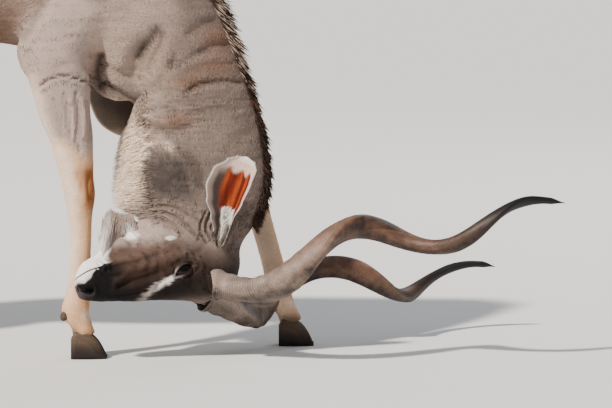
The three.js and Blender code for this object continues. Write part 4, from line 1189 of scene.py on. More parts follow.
def blades(root, normal, lie, length, width, rise, bend, rings, sink, flatness=0.34):
    # The middle line is root + lie * length * t + normal * length * (rise * t - bend * t * t), and
    # each ring of three stands across it, widest low down and closed in a tip
    across = unit(np.cross(normal, lie))
    t = np.linspace(0, 1, rings + 1)
    n = len(root)
    points = np.empty((n, 3 * rings + 1, 3))
    length, width = length[:, None], width[:, None]
    rise, bend = np.broadcast_to(rise, (n,))[:, None], np.broadcast_to(bend, (n,))[:, None]
    for k in range(rings + 1):
        high = length * (rise * t[k] - bend * t[k] ** 2) - sink * (1 - t[k]) ** 3
        centre = root + lie * length * t[k] + normal * high
        if k == rings:
            points[:, -1] = centre
            break
        half = width * (math.sin(math.pi * (0.3 + 0.7 * t[k])) if rings > 1 else 1.0)
        points[:, 3 * k] = centre - across * half
        points[:, 3 * k + 1] = centre + across * half
        points[:, 3 * k + 2] = centre + normal * half * 2 * flatness
    face = [(0, 1, 2)]
    for k in range(rings - 1):
        for a, b in ((0, 1), (1, 2), (2, 0)):
            face += [(3 * k + b, 3 * k + a, 3 * k + 3 + a), (3 * k + b, 3 * k + 3 + a, 3 * k + 3 + b)]
    last = 3 * (rings - 1)
    face += [(last + b, last + a, last + 3) for a, b in ((0, 1), (1, 2), (2, 0))]
    face = np.array(face)
    faces = (np.arange(n)[:, None, None] * (3 * rings + 1) + face[None]).reshape(-1, 3)
    return points.reshape(-1, 3), faces


bakePlaces = {  # each form's patch of the coat's own map: left, low, wide, high
    0: (0.01, 0.01, 0.56, 0.97), 1: (0.60, 0.01, 0.08, 0.46), 2: (0.70, 0.01, 0.08, 0.46),
    3: (0.80, 0.01, 0.08, 0.46), 4: (0.90, 0.01, 0.08, 0.46), 5: (0.60, 0.51, 0.28, 0.46),
    6: (0.91, 0.51, 0.07, 0.46),
}
bakePatch = 0.0015


def bakePlace(point, form):
    # A root's place on the unwrapped form: the turn round it, and the share along it
    place = np.zeros((len(point), 2))
    for k, (left, low, wide, high) in bakePlaces.items():
        on = form == k
        if not on.any():
            continue
        spot = point[on]
        if k == 0:
            along, up, side, _ = trunkPlace(spot)
            turn = np.arctan2(up, side) / (2 * np.pi) % 1
        elif k < 5:
            along, turn, _ = legPlace(list(legs.values())[k - 1], spot)
        elif k == 5:
            local = headLocal(spot)
            along = (local[:, 0] + 20) / 520
            turn = np.arctan2(local[:, 2] - 90, local[:, 1]) / (2 * np.pi) % 1
        else:
            along = (tail["mapTop"] - spot[:, 2]) / tail["mapLong"]
            turn = np.arctan2(spot[:, 1], spot[:, 0] - tail["x"]) / (2 * np.pi) % 1
        place[on] = np.stack([left + wide * turn, low + high * np.clip(along, 0, 1)], -1)
    return place


def tuftObject(name, parts, material):
    # parts: root, form, colour at the root, colour at the tip, and the arguments of blades
    allPoints, allFaces, allColours, allPlaces, start = [], [], [], [], 0
    for root, form, low, tip, shape in parts:
        points, faces = blades(root, **shape)
        rings = shape["rings"]
        t = np.append(np.repeat(np.arange(rings) / rings, 3), 1.0)
        colour = low[:, None] + (tip - low)[:, None] * (t ** 1.2)[None, :, None]
        corner = np.append(np.tile(np.arange(3), rings), 0) * 2 * np.pi / 3
        offset = np.stack([np.cos(corner) * (1 - t), np.sin(corner) * (1 - t) + t], -1) * bakePatch
        allPoints.append(points)
        allFaces.append(faces + start)
        allColours.append(colour.reshape(-1, 3))
        allPlaces.append((bakePlace(root, form)[:, None] + offset[None]).reshape(-1, 2))
        start += len(points)
    points, faces = np.vstack(allPoints), np.vstack(allFaces)
    mesh = bpy.data.meshes.new(name)
    mesh.vertices.add(len(points))
    mesh.vertices.foreach_set("co", (points * mm + shift).astype(np.float32).ravel())
    mesh.loops.add(faces.size)
    mesh.loops.foreach_set("vertex_index", faces.astype(np.int32).ravel())
    mesh.polygons.add(len(faces))
    mesh.polygons.foreach_set("loop_start", np.arange(0, faces.size, 3, dtype=np.int32))
    mesh.update(calc_edges=True)
    paint(mesh, "coat", np.clip(np.vstack(allColours), 0.003, 0.97))
    layer = mesh.uv_layers.new(name="OFBake")
    layer.data.foreach_set("uv", np.vstack(allPlaces)[faces.ravel()].astype(np.float32).ravel())
    thing = makeObject(name, mesh)
    mesh.materials.append(material)
    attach(thing, "root")
    print(name, len(faces), "faces")


# Coat material: the painted markings with a fine grain, and a bump of short hair

grains = {"scale": 240, "detail": 5, "roughness": 0.65, "from": (0.3, 0.7), "distance": 0.0016}
surfaces = {
    "coatSkin": {"grain": 0.16, "bump": 0.5, "roughness": 0.76, "sheen": 0.02, "specular": 0.14},
    "coatHair": {"grain": 0.10, "bump": 0.0, "roughness": 0.68, "sheen": 0.03, "specular": 0.14},
    "hornSheath": {"grain": 0.22, "bump": 0.35, "roughness": 0.5, "sheen": 0.0, "specular": 0.34},
    "hoofHorn": {"grain": 0.2, "bump": 0.25, "roughness": 0.45, "sheen": 0.0, "specular": 0.14},
    "eyeWet": {"grain": 0.15, "bump": 0.0, "roughness": 0.12, "sheen": 0.0, "specular": 0.22},
}


def coatMaterial(name):
    # Painted colour * grain, and a bump from the same noise
    spec = surfaces[name]
    grain, bump = spec["grain"], spec["bump"]
    material = plainMaterial(name, (0.3, 0.25, 0.2, 1), spec["roughness"])
    nodes, links = material.node_tree.nodes, material.node_tree.links
    shader = nodes["Principled BSDF"]
    shader.inputs["Sheen Weight"].default_value = spec["sheen"]
    shader.inputs["Specular IOR Level"].default_value = spec["specular"]
    colour = nodes.new("ShaderNodeAttribute")
    colour.attribute_name = "coat"
    place = nodes.new("ShaderNodeTexCoord")
    fine = nodes.new("ShaderNodeTexNoise")
    for socket in ("Scale", "Detail", "Roughness"):
        fine.inputs[socket].default_value = grains[socket.lower()]
    ramp = nodes.new("ShaderNodeMapRange")
    ends = (*grains["from"], 1 - grain, 1 + grain)
    for socket, value in zip(("From Min", "From Max", "To Min", "To Max"), ends):
        ramp.inputs[socket].default_value = value
    mixed = nodes.new("ShaderNodeVectorMath")
    mixed.operation = "SCALE"
    raised = nodes.new("ShaderNodeBump")
    raised.inputs["Strength"].default_value = bump
    raised.inputs["Distance"].default_value = grains["distance"]
    links.new(place.outputs["Object"], fine.inputs["Vector"])
    links.new(fine.outputs["Fac"], ramp.inputs["Value"])
    links.new(colour.outputs["Color"], mixed.inputs[0])
    links.new(ramp.outputs["Result"], mixed.inputs["Scale"])
    links.new(mixed.outputs["Vector"], shader.inputs["Base Color"])
    if bump > 0:
        links.new(fine.outputs["Fac"], raised.inputs["Height"])
        links.new(raised.outputs["Normal"], shader.inputs["Normal"])
    return material


coat = makeSkin()
setPoints(coat.data, detail(pointsOf(coat.data) / mm, normalsOf(coat.data)) * mm)
skinPoints = pointsOf(coat.data) / mm
skinFar = outsideOf(skinPoints)
paint(coat.data, "coat", markings(skinPoints, skinFar))
coatSkin = coatMaterial("coatSkin")
coatHair = coatMaterial("coatHair")
coat.data.materials.append(coatSkin)
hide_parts("torso", "neck_base", "neck", "head", "tail",
            *[f"leg_{name}_{part}" for name in legs for part in ("upper", "lower")])
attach(coat, "root")
print("skin painted")


# Short coat: tufts scattered over the whole skin, shortest on the face and feet

shortCoat = {
    "count": 216000, "perPiece": 48000, "length": 13.0, "half": 1.25, "rise": (0.13, 0.08),
    "tone": (0.93, 1.07),
}


def corners(mesh):
    # The three points of every triangle
    mesh.calc_loop_triangles()
    flat = np.empty(len(mesh.loop_triangles) * 3, np.int32)
    mesh.loop_triangles.foreach_get("vertices", flat)
    return flat.reshape(-1, 3)


def scattered(count, densityOf):
    # Places on the skin drawn by area and density, with their smooth normals
    tri = corners(coat.data)
    normal = normalsOf(coat.data)
    a, b, c = skinPoints[tri[:, 0]], skinPoints[tri[:, 1]], skinPoints[tri[:, 2]]
    density = densityOf((a + b + c) / 3, skinFar[tri[:, 0]])
    total = np.cumsum(np.linalg.norm(np.cross(b - a, c - a), axis=1) * density)
    pick = np.searchsorted(total, dice.random(count) * total[-1])
    u, v = dice.random(count), dice.random(count)
    flip = u + v > 1
    u, v = np.where(flip, 1 - u, u)[:, None], np.where(flip, 1 - v, v)[:, None]
    mixed = [x[tri[pick, 0]] * (1 - u - v) + x[tri[pick, 1]] * u + x[tri[pick, 2]] * v
             for x in (skinPoints, normal)]
    return mixed[0], unit(mixed[1])


def shortDensity(point, far):
    # How densely the tufts stand: none on the nose, the lids and the hooves
    form = np.argmin(far, axis=1)
    local = headLocal(point)
    x, z = point[:, 0], point[:, 2]
    density = np.where((form == 0) & (x < -240), 0.45, 1.0)
    density = np.where(form == 5, 2.2, density)
    density = np.where((form >= 1) & (form <= 4), 1.1, density)
    bare = (form == 5) & ((local[:, 0] < 34) & (local[:, 2] < 30))
    lid = eyePlace(local)[2]
    bare |= (form == 5) & (lid < 3.5) & (np.abs(local[:, 1]) > 30)
    return np.where(bare | (z < 60), 0.0, density)


def makeShortCoat():
    # Length is the whole length * the size of the form's tufts, and longer on the throat
    root, normal = scattered(shortCoat["count"], shortDensity)
    far = outsideOf(root)
    form = np.argmin(far, axis=1)
    onLeg = (form >= 1) & (form <= 4)
    lie = lieOf(root, normal, far)
    colour = markings(root, far)
    local = headLocal(root)
    size = np.where(form == 5, 0.42 + 0.3 * ease(local[:, 0], 60, 330), 1.0)
    size = np.where(onLeg, 0.5 + 0.35 * ease(root[:, 2], 300, 700), size)
    size = np.where(form == 6, 1.3, size) * dice.uniform(0.7, 1.3, len(root))
    throat = (form == 0) * ease(-trunkPlace(root)[1], 0.35, 0.8) * ease(700 - root[:, 2], 0, 80)
    length = shortCoat["length"] * size * (1 + 0.5 * throat)
    half = shortCoat["half"] * np.clip(size, 0.55, 1.2)
    trunkRise, otherRise = shortCoat["rise"]
    rise = np.where(form == 0, trunkRise, otherRise) * dice.uniform(0.6, 1.5, len(root))
    tone = dice.uniform(*shortCoat["tone"], len(root))[:, None]
    order = np.argsort(form * 1e5 + root[:, 0], kind="stable")
    for k, part in enumerate(np.array_split(order, math.ceil(len(order) / shortCoat["perPiece"]))):
        shape = dict(normal=normal[part], lie=lie[part], length=length[part], width=half[part],
                     rise=rise[part], bend=0.1, rings=1, sink=0.8)
        low = colour[part] * tone[part]
        tuftObject(f"short_coat_{k + 1}", [(root[part], form[part], low * 0.92, low * 1.12, shape)],
                   coatHair)


makeShortCoat()


# Long coat: crest and mane, throat fringe, beard, tail tuft and the hair at the ears

longCoat = {
    "crest": {"from": 0.175, "to": 0.42, "count": 1300, "spread": 0.014, "half": 2.2},
    "mane": {"from": 0.42, "to": 0.95, "count": 4200, "spread": 0.026, "half": 1.7},
    "maneLength": [(0, 44), (0.2, 46), (0.32, 64), (0.42, 96), (0.5, 96), (0.6, 76), (0.7, 58),
                   (0.9, 40), (1, 34)],
    "fringe": {"from": 0.635, "to": 0.985, "count": 9000, "spread": 0.07, "half": 1.1, "clump": 0.06,
               "blend": 0.9, "edge": [(430, 150), (520, 142), (690, 116)]},
    "fringeLength": [(0.63, 20), (0.66, 40), (0.70, 50), (0.86, 54), (0.91, 62), (0.95, 82), (1, 104)],
    "beard": {"back": (74, 176), "round": 0.075, "count": 4200, "half": 1.2,
              "lean": [(74, 0.24), (95, 0.14), (120, -0.02), (176, -0.4)]},
    "beardLength": [(74, 66), (82, 84), (90, 82), (104, 68), (120, 50), (140, 34), (176, 22)],
    "tuft": {"from": 0.5, "to": 0.95, "count": 1100, "length": 96, "half": 2.0},
    "earFur": {"count": 1500, "length": 26, "half": 1.1},
    "earRim": {"count": 1500, "length": (2, 5), "half": 0.5},
    "earFoot": {"count": 420, "length": (9, 16), "half": 0.9},
    "hornFoot": {"count": 900, "length": (16, 28), "half": 1.4},
}


def clumped(root, way, amount, size=17.0):
    # Neighbouring hairs lean the same way, so that they close in locks
    lean = np.stack([wave(root, size, 50 + k) for k in range(3)], -1)
    lean = lean + 0.4 * dice.normal(size=way.shape)
    return unit(way + amount * lean)


def nearSkin(turn, share, inset):
    # Root points on the trunk's form, a little under the skin, and the way out from its middle
    root = trunkPoint(turn, share)
    middle = trunkPoint(turn + 0.5, share) * 0.5 + root * 0.5
    out = unit(root - middle)
    return root - out * inset, out


def trunkHair(spec, lengths, lieAt, column, tone, inset=6.0):
    # Hair along one line of the trunk, length * (1 - 0.45 * aside^2) away from the line
    n = spec["count"]
    share = dice.uniform(spec["from"], spec["to"], n)
    turn = column + spec["spread"] * dice.normal(size=n).clip(-1.9, 1.9)
    root, out = nearSkin(turn, share, inset)
    way = unit(clumped(root, lieAt(share, out), spec.get("clump", 0.16)))
    sideways = np.stack([0 * share, np.sign(np.cos(2 * np.pi * turn)), 0 * share], -1) + 0.3 * out
    aside = np.abs(turn - column) / (1.9 * spec["spread"])
    length = tableAt(lengths, share) * dice.uniform(0.45, 1.15, n) * (1 - 0.45 * aside ** 2)
    low, tip = tone(root, share)
    if "blend" in spec:
        own = markings(root, outsideOf(root))
        edge = tableAt(spec["edge"], root[:, 2])
        merge = (ease(root[:, 0] - edge, 18, 52) * spec["blend"])[:, None]
        low, tip = low + (own - low) * merge, tip + (own * 1.1 - tip) * merge
        length = length * (1 - 0.62 * merge[:, 0])
    shape = dict(normal=facing(way, sideways), lie=way, length=length,
                 width=spec["half"] * dice.uniform(0.7, 1.3, n), rise=0.0,
                 bend=0.14 * dice.normal(size=n), rings=3, sink=0.0)
    return root, np.zeros(n, int), low, tip, shape


def maneLie(share, out):
    # Back along the trunk, and outward and down on the hanging neck
    fall = ease(share, 0.4, 0.58)[:, None]
    return curveWay(trunkMiddle, share) * (-0.9 + 1.7 * fall) + out * 0.42


def maneTone(root, share):
    # Black-brown, with pale tips on part of the crest and the upper mane
    n = len(root)
    pale = (dice.random(n) < 0.5 * ease(root[:, 2], 700, 800)) & (share > 0.4)
    low = washed("black", n, [("brown", 0.28 + 0.25 * wave(root, 30, 60))])
    tip = np.where(pale[:, None], tones["cream"], low)
    crest = (share < 0.42) & (dice.random(n) < 0.4)
    return low, np.where(crest[:, None], tones["cream"] * 0.8, tip)


def fringeLie(share, out):
    # Forward from the throat, a little out and down
    front = -unit(curvePoint(trunkUp, share))
    return front + 0.28 * out + np.array([0, 0, -0.26])


def fringeTone(root, share):
    # Cream, turning warm grey on the chest
    n = len(root)
    chest = 1 - ease(share, 0.60, 0.66)
    pale = dice.uniform(0.0, 0.7, n)
    return (washed("cream", n, [("paleTan", 0.35 * pale), ("warm", 0.85 * chest)]),
            washed("cream", n, [("white", 0.5 * pale), ("warm", 0.75 * chest)]))


def jawHair():
    # Hair under the chin and along the jaw, paler toward the jaw's edge
    spec, n = longCoat["beard"], longCoat["beard"]["count"]
    rows = np.array(head["rows"], float)
    share = np.interp(dice.uniform(*spec["back"], n), rows[:, 0], np.linspace(0, 1, len(rows)))
    root = skullPoint(0.25 + spec["round"] * dice.normal(size=n).clip(-1.8, 1.8), share)
    back, side, deep = headLocal(root).T
    root = headPoint(back, side * 0.9, deep - 5)
    backWay, rightWay, deepWay = headAxes.T
    lean = tableAt(spec["lean"], back)[:, None]
    way = unit(deepWay + lean * backWay + 0.014 * side[:, None] * rightWay)
    way = clumped(root, way, 0.06, 13.0)
    sideways = np.where(side > 0, 1, -1)[:, None] * rightWay
    length = tableAt(longCoat["beardLength"], back) * dice.uniform(0.6, 1.15, n)
    own = markings(root, outsideOf(root))
    white = washed("cheek", n, [("white", 1 - ease(back, 92, 112))])
    toJaw = deep - np.interp(back, rows[:, 0], rows[:, 2])
    white = own + (white - own) * (0.12 + 0.6 * ease(toJaw, -34, -4))[:, None]
    tip = over(over(white, "cheek", 0.6), "warm", dice.uniform(0.1, 0.7, n))
    shape = dict(normal=facing(way, sideways), lie=way, length=length,
                 width=spec["half"] * dice.uniform(0.7, 1.3, n), rise=0.0,
                 bend=0.09 * dice.normal(size=n), rings=3, sink=0.0)
    return root, np.full(n, 5), white * 0.95, tip, shape


def tailHair():
    # Hair out of the tail's lower half, hanging down, white in front
    spec = longCoat["tuft"]
    n = spec["count"]
    share, turn = dice.uniform(spec["from"], spec["to"], n), dice.random(n)
    root, middle = tailPoint(turn, share), tailPoint(turn + 0.5, share)
    out = unit(root - middle)
    way = clumped(root, unit(out * 0.35 + np.array([0.1, 0, -1.0])), 0.14)
    under = root[:, 0] > -1350
    low = np.where((under & (share < 0.8))[:, None], tones["white"] * 0.9, tones["black"])
    shape = dict(normal=facing(way, out), lie=way, length=spec["length"] * dice.uniform(0.5, 1.2, n),
                 width=spec["half"] * dice.uniform(0.7, 1.3, n), rise=0.0,
                 bend=0.1 * dice.normal(size=n), rings=3, sink=0.0)
    return root - out * 3, np.full(n, 6), low, low, shape


tuftObject("crest_and_mane", [
    trunkHair(longCoat["crest"], longCoat["maneLength"], maneLie, 0.25, maneTone),
    trunkHair(longCoat["mane"], longCoat["maneLength"], maneLie, 0.25, maneTone),
], coatHair)
tuftObject("throat_fringe", [
    trunkHair(longCoat["fringe"], longCoat["fringeLength"], fringeLie, 0.75, fringeTone),
], coatHair)
tuftObject("beard_and_tail_tuft", [jawHair(), tailHair()], coatHair)


# Ears: a thin cup from its base to its tip, red-brown inside with a pale rim

def earPoint(side, turn, share):
    # width * v across, and thickness - cup * (1 - v^2) out, with a few low ridges
    base, axis, across, out, length = earFrame(side)
    v = power(np.cos(2 * np.pi * turn), 0.9)
    front = v * np.sign(across @ headAxes[:, 0]) < 0
    width = np.where(front, stepped(ears["front"], share), stepped(ears["rear"], share))
    cup = stepped(ears["cup"], share)
    thick = ears["thick"] * (1 + 2.2 * (1 - ease(share, 0, 0.2))) * np.sin(2 * np.pi * turn)
    ridge = 1.6 * np.sin(v * 9 + 1.4) * ease(share, 0.15, 0.4)
    ridge = ridge * (1 - ease(share, 0.7, 0.95)) * (1 - v * v)
    waver = 1.2 * np.sin(share * 7) * v * np.abs(v)
    rise = thick - cup * (1 - v * v) + ears["forward"] + waver + ridge
    along = (length * share)[..., None] * axis
    return base + along + (width * v)[..., None] * across + rise[..., None] * out


def earColour(side, turn, share):
    # v runs from -1 at the front edge to 1 at the rear edge
    v = power(np.cos(2 * np.pi * turn), 0.9) * np.sign(earFrame(side)[2] @ headAxes[:, 0])
    n = len(v)
    inside = np.sin(2 * np.pi * turn) > 0
    streak = np.sin(v * 13 + 1.5 * np.sin(share * 6)) * 0.7 + np.sin(v * 37 + share * 5) * 0.3
    top = 0.80 + 0.035 * np.cos(v * 10.5)
    red = ease(v, -0.64, -0.5) * (1 - ease(v, 0.70, 0.84))
    red = red * ease(share, 0.3, 0.4) * (1 - ease(share, top - 0.02, top + 0.03))
    pale = np.maximum(ease(share, top - 0.01, top + 0.04) * ease(v, -0.85, -0.6), ease(v, 0.72, 0.86))
    cup = washed("grey", n, [
        ("dim", 0.75 * (1 - ease(share, 0.62, 0.86))),
        ("cheek", 0.6 * ease(-v, 0.9, 0.97)),
        # A dark band along the inner edge of the pale rim: painted shade
        ("soot", 0.8 * (1 - ease(np.abs(v + 0.68), 0.08, 0.2)) * (1 - ease(share, 0.7, 0.84))),
        ("pink", 0.9 * pale),
        ("white", 0.7 * ease(share, 0.9, 0.97) * ease(v, -0.8, -0.4)),
        ("red", red),
        ("bridge", 0.75 * red * np.clip(streak, 0, 1)),
        ("rust", 0.5 * red * np.clip(-streak, 0, 1)),
        ("nape", 0.8 * (1 - ease(share, 0.08, 0.18))),
        ("white", 0.9 * (1 - ease(share, 0.3, 0.38)) * ease(v, -0.6, -0.4) * ease(share, 0.1, 0.16)),
    ])
    outer = washed("dim", n, [("grey", 0.5 + 0.5 * np.sin(share * 7 + v * 4))])
    return over(np.where(inside[:, None], cup, outer), "white", 0.75 * ease(np.abs(v), 0.97, 0.995))


def makeEar(side, name, node):
    # A shell from the foot to the tip, closed by a pole at each end
    turn, share = gridOf(*ears["grid"])
    points, faces = tube(earPoint(side, turn, share))
    turn, share = np.append(turn.ravel(), [0.25, 0.25]), np.append(share.ravel(), [0.0, 1.0])
    colour = np.clip(earColour(side, turn, share), 0.004, 0.96)
    makePiece(name, points, faces, colour, coatSkin, node)


def earHair(side):
    # White fur at the foot of the cup, short hair along its rim, and hair round the ear's foot
    base, axis, across, out, _ = earFrame(side)
    turned = np.sign(across @ headAxes[:, 0])

    spec = longCoat["earFur"]
    n = spec["count"]
    v, share = dice.uniform(-0.5, 0.85, n), dice.uniform(0.02, 0.33, n)
    v = v * turned
    root = earPoint(side, np.arccos(np.clip(v, -1, 1)) / (2 * np.pi), share) - out * 1.5
    way = clumped(root, unit(axis + 0.35 * out - 0.25 * v[:, None] * across), 0.14)
    dark = ease(0.07 + 0.16 * v * turned - share, -0.03, 0.03)
    low = washed("white", n, [("grey", 0.12), ("umber", 0.85 * dark)])
    shape = dict(normal=squared(out, way), lie=way, length=spec["length"] * dice.uniform(0.5, 1.1, n),
                 width=np.full(n, spec["half"]), rise=0.08, bend=0.15, rings=3, sink=1.0)
    fur = (root, np.full(n, 5), low * 0.9, low, shape)

    spec = longCoat["earRim"]
    n = spec["count"]
    edge = dice.random(n) < 0.5
    share = dice.uniform(0.04, 0.985, n)
    root = earPoint(side, np.where(edge, 0.004, 0.496), share)
    rimOut = np.where(edge, 1.0, -1.0)[:, None] * across
    way = clumped(root, unit(rimOut * 0.55 + axis * 0.9 + 0.2 * out), 0.15)
    low = washed("white", n, [("grey", dice.uniform(0.2, 0.8, n))])
    shape = dict(normal=np.tile(out, (n, 1)), lie=way, length=dice.uniform(*spec["length"], n),
                 width=np.full(n, spec["half"]), rise=0.05, bend=0.1, rings=1, sink=1.0)
    rim = (root, np.full(n, 5), low * 0.85, low, shape)

    spec = longCoat["earFoot"]
    n = spec["count"]
    root = earPoint(side, dice.random(n), dice.uniform(0.05, 0.14, n))
    away = unit(root - base - axis * ((root - base) @ axis)[:, None])
    way = clumped(root, unit(0.7 * away + 0.5 * out - 0.5 * axis), 0.2)
    low = washed("dim", n, [("cheek", dice.uniform(0.0, 0.8, n))])
    shape = dict(normal=facing(way, axis), lie=way, length=dice.uniform(*spec["length"], n),
                 width=np.full(n, spec["half"]), rise=0.05, bend=0.15, rings=2, sink=1.0)
    return [fur, rim, (root, np.full(n, 5), low * 0.85, low, shape)]


makeEar(1, "ear_shell_right", "ear_right")
makeEar(-1, "ear_shell_left", "ear_left")
tuftObject("ear_fur", earHair(1) + earHair(-1), coatHair)


# Horns: a helix round a straight axis, closing toward the tip, with a keel that winds with it and
# growth rings near the foot

horn = {
    "back": 365, "spread": 59.2, "deep": 8, "outward": 14.95, "backward": 6.55, "reach": 957,
    "coil": (58.8, 50.9, 24.7), "start": -84.4, "turns": 1.905, "crowding": 1.109, "keelLead": 38,
    "radius": [(0, 46), (0.035, 41), (0.1, 35.5), (0.2, 35), (0.3, 33), (0.5, 27.5), (0.7, 19.5),
               (0.86, 14.5), (0.96, 8), (1, 1.2)],
    "foot": -0.005, "keel": 0.26, "sides": 64, "rows": 520, "ringDepth": 0.8, "ringsEvery": 6.4,
    "ringsTo": 0.36, "colours": ("857368", "5f4435", "070505"),
}


def hornFrame(side):
    # The horn's foot, its axis, and two directions square to the axis
    outward, backward = math.radians(horn["outward"]), math.radians(horn["backward"])
    lateral, dorsal = headAxes[:, 1] * side, -headAxes[:, 2]
    axis = unit(headAxes[:, 0] * math.cos(outward) * math.cos(backward) + lateral * math.sin(outward)
                - dorsal * math.sin(backward) * math.cos(outward))
    first = unit(dorsal - dorsal @ axis * axis)
    second = lateral - lateral @ axis * axis
    second = unit(second - second @ first * first)
    return headPoint(horn["back"], side * horn["spread"], horn["deep"]), axis, first, second


def hornMiddle(frame, t):
    # base + reach * t along the axis + the coil's radius at its angle, and that radius
    base, axis, first, second = frame
    wide, middle, tip = horn["coil"]

    def coil(t):
        radius = np.where(t < 0.5, wide + (middle - wide) * t / 0.5,
                          middle + (tip - middle) * (t - 0.5) / 0.5)
        wound = 2 * np.pi * horn["turns"] * np.maximum(t, 0) ** horn["crowding"]
        angle = math.radians(horn["start"]) + wound
        x, y = np.cos(angle) * radius, np.sin(angle) * radius
        return x[..., None] * first + y[..., None] * second

    t = np.asarray(t, float)
    return base + t[..., None] * horn["reach"] * axis + coil(t) - coil(np.zeros(1)), coil(t)


def hornPoint(side, turn, share):
    # Radius * (0.93 + 0.08 cos(2 lead) + keel * cos(lead)^7), with rings, swells, furrows
    frame = hornFrame(side)
    t = horn["foot"] + (1 - horn["foot"]) * share
    centre, coil = hornMiddle(frame, t)
    along = unit(hornMiddle(frame, t + 0.004)[0] - hornMiddle(frame, t - 0.004)[0])
    out = squared(coil, along)
    across = np.cross(along, out) * side
    angle = 2 * np.pi * turn
    lead = angle - math.radians(horn["keelLead"])
    section = 0.93 + 0.08 * np.cos(2 * lead) + horn["keel"] * np.maximum(0, np.cos(lead)) ** 7
    radius = stepped(horn["radius"], np.maximum(t, 0)) * section
    radius = radius * (0.9 + 0.1 * ease(t, horn["foot"], 0))
    path = np.maximum(t, 0) * horn["reach"] * 1.1
    fade = 1 - ease(t, horn["ringsTo"] * 0.35, horn["ringsTo"])
    wobble = path + 5 * np.sin(lead) + 2.2 * np.sin(3 * lead + 1) + 6 * np.sin(path / 37)
    rings = horn["ringDepth"] * fade * np.sin(2 * np.pi * wobble / horn["ringsEvery"])
    swell = 1.3 * fade * np.sin(2 * np.pi * wobble / 43)
    furrow = 0.5 * np.sin(23 * lead + 2 * np.sin(path / 60)) + 0.35 * np.sin(41 * lead + path / 45)
    radius = radius + (rings + swell + furrow * (1 - ease(t, 0.6, 0.95))) * np.clip(radius / 30, 0, 1)
    x, y = radius * np.cos(angle), radius * np.sin(angle)
    return centre + out * x[..., None] + across * y[..., None]


def hornColour(turn, share, point, under):
    # Pale at the foot, brown, black at the tip, with fibres, worn patches and rings, a painted
    # highlight along the keel, and painted shade on one side of the keel and on the underside
    lead = 2 * np.pi * turn - math.radians(horn["keelLead"])
    path = share * 1050
    foot, middle, tip = (ink(code) for code in horn["colours"])
    colour = foot + (middle - foot) * ease(share, 0.12, 0.42)[:, None]
    colour = colour + (tip - colour) * ease(share, 0.58, 0.86)[:, None]
    fibre = 0.5 * np.sin(31 * lead + 3 * np.sin(path / 80))
    fibre = fibre + 0.5 * np.sin(57 * lead + 2 * np.sin(path / 50) + 1)
    # Painted highlight along the keel's edge
    keel = 0.35 * np.maximum(0, np.cos(lead)) ** 10 * (1 - ease(share, 0.7, 0.95))
    colour = colour * (1 + 0.13 * fibre)[:, None] * (1 + keel)[:, None]
    worn = 0.22 * wave(point, 44, 30) + 0.28 * wave(point, 15, 31) * ease(share, 0.04, 0.16)
    worn = worn + 0.14 * wave(point, 5, 32)
    # Painted shade away from the keel, on one side of it, and on the underside of the horn
    low = 0.25 * np.maximum(0, -np.cos(lead)) + 0.5 * ease(np.sin(lead), 0.04, 0.3) * (np.cos(lead) > 0)
    low = np.maximum(low * ease(share, 0.02, 0.1), 0.6 * ease(under, -0.15, 0.6))
    colour = colour * (1 + worn - low * (1 - ease(share, 0.7, 0.95)))[:, None]
    ring = np.sin(2 * np.pi * (path + 5 * np.sin(lead) + 6 * np.sin(path / 37)) / horn["ringsEvery"])
    return np.clip(colour * (1 + 0.2 * ring * (1 - ease(share, 0.15, 0.42)))[:, None], 0.004, 0.9)


hornSheath = coatMaterial("hornSheath")


def makeHorn(side, name, node):
    # under is 1 at the lowest points of each ring and -1 at the highest
    turn, share = gridOf(horn["sides"], horn["rows"])
    points, faces = tube(hornPoint(side, turn, share))
    rings = points[:-2].reshape(horn["rows"], -1, 3)
    down = (rings.mean(1, keepdims=True) - rings)[..., 2]
    under = np.append(down / np.abs(down).max(1, keepdims=True), [0, 0])
    turn, share = np.append(turn.ravel(), [0, 0]), np.append(share.ravel(), [0.0, 1.0])
    makePiece(name, points, faces, hornColour(turn, share, points, under), hornSheath, node)


def hornHair(side):
    # Dark hair from the skin round the horn's foot, lying over the first of the sheath
    spec = longCoat["hornFoot"]
    n = spec["count"]
    turn = dice.random(n)
    root = hornPoint(side, turn, np.zeros(n))
    ahead = unit(hornPoint(side, turn, np.full(n, 0.02)) - root)
    out = unit(root - root.mean(0))
    way = clumped(root, unit(ahead + 0.12 * out), 0.1)
    low = washed("bridge", n, [("umber", 0.6 * dice.random(n))])
    shape = dict(normal=squared(out, way), lie=way, length=dice.uniform(*spec["length"], n),
                 width=np.full(n, spec["half"]), rise=0.06, bend=0.1, rings=2, sink=0.0)
    return root - ahead * 13 - out * 1.5, np.full(n, 5), low, low * 1.3, shape


tuftObject("horn_foot_hair", [hornHair(1), hornHair(-1)], coatHair)
makeHorn(1, "horn_sheath_right", "horn_right")
makeHorn(-1, "horn_sheath_left", "horn_left")
print("ears and horns are in")


# Hooves and dewclaws

claws = {"heel": -36, "toe": 60, "height": 74, "half": 16, "apart": 18.5, "splay": 0.05,
         "grid": (44, 34), "colours": ("2a2422", "55463a"), "paleFrom": 60}
dewclaws = {"size": (11, 8, 15), "tilt": 0.5, "at": (-34, 15, -12), "grid": (24, 16)}


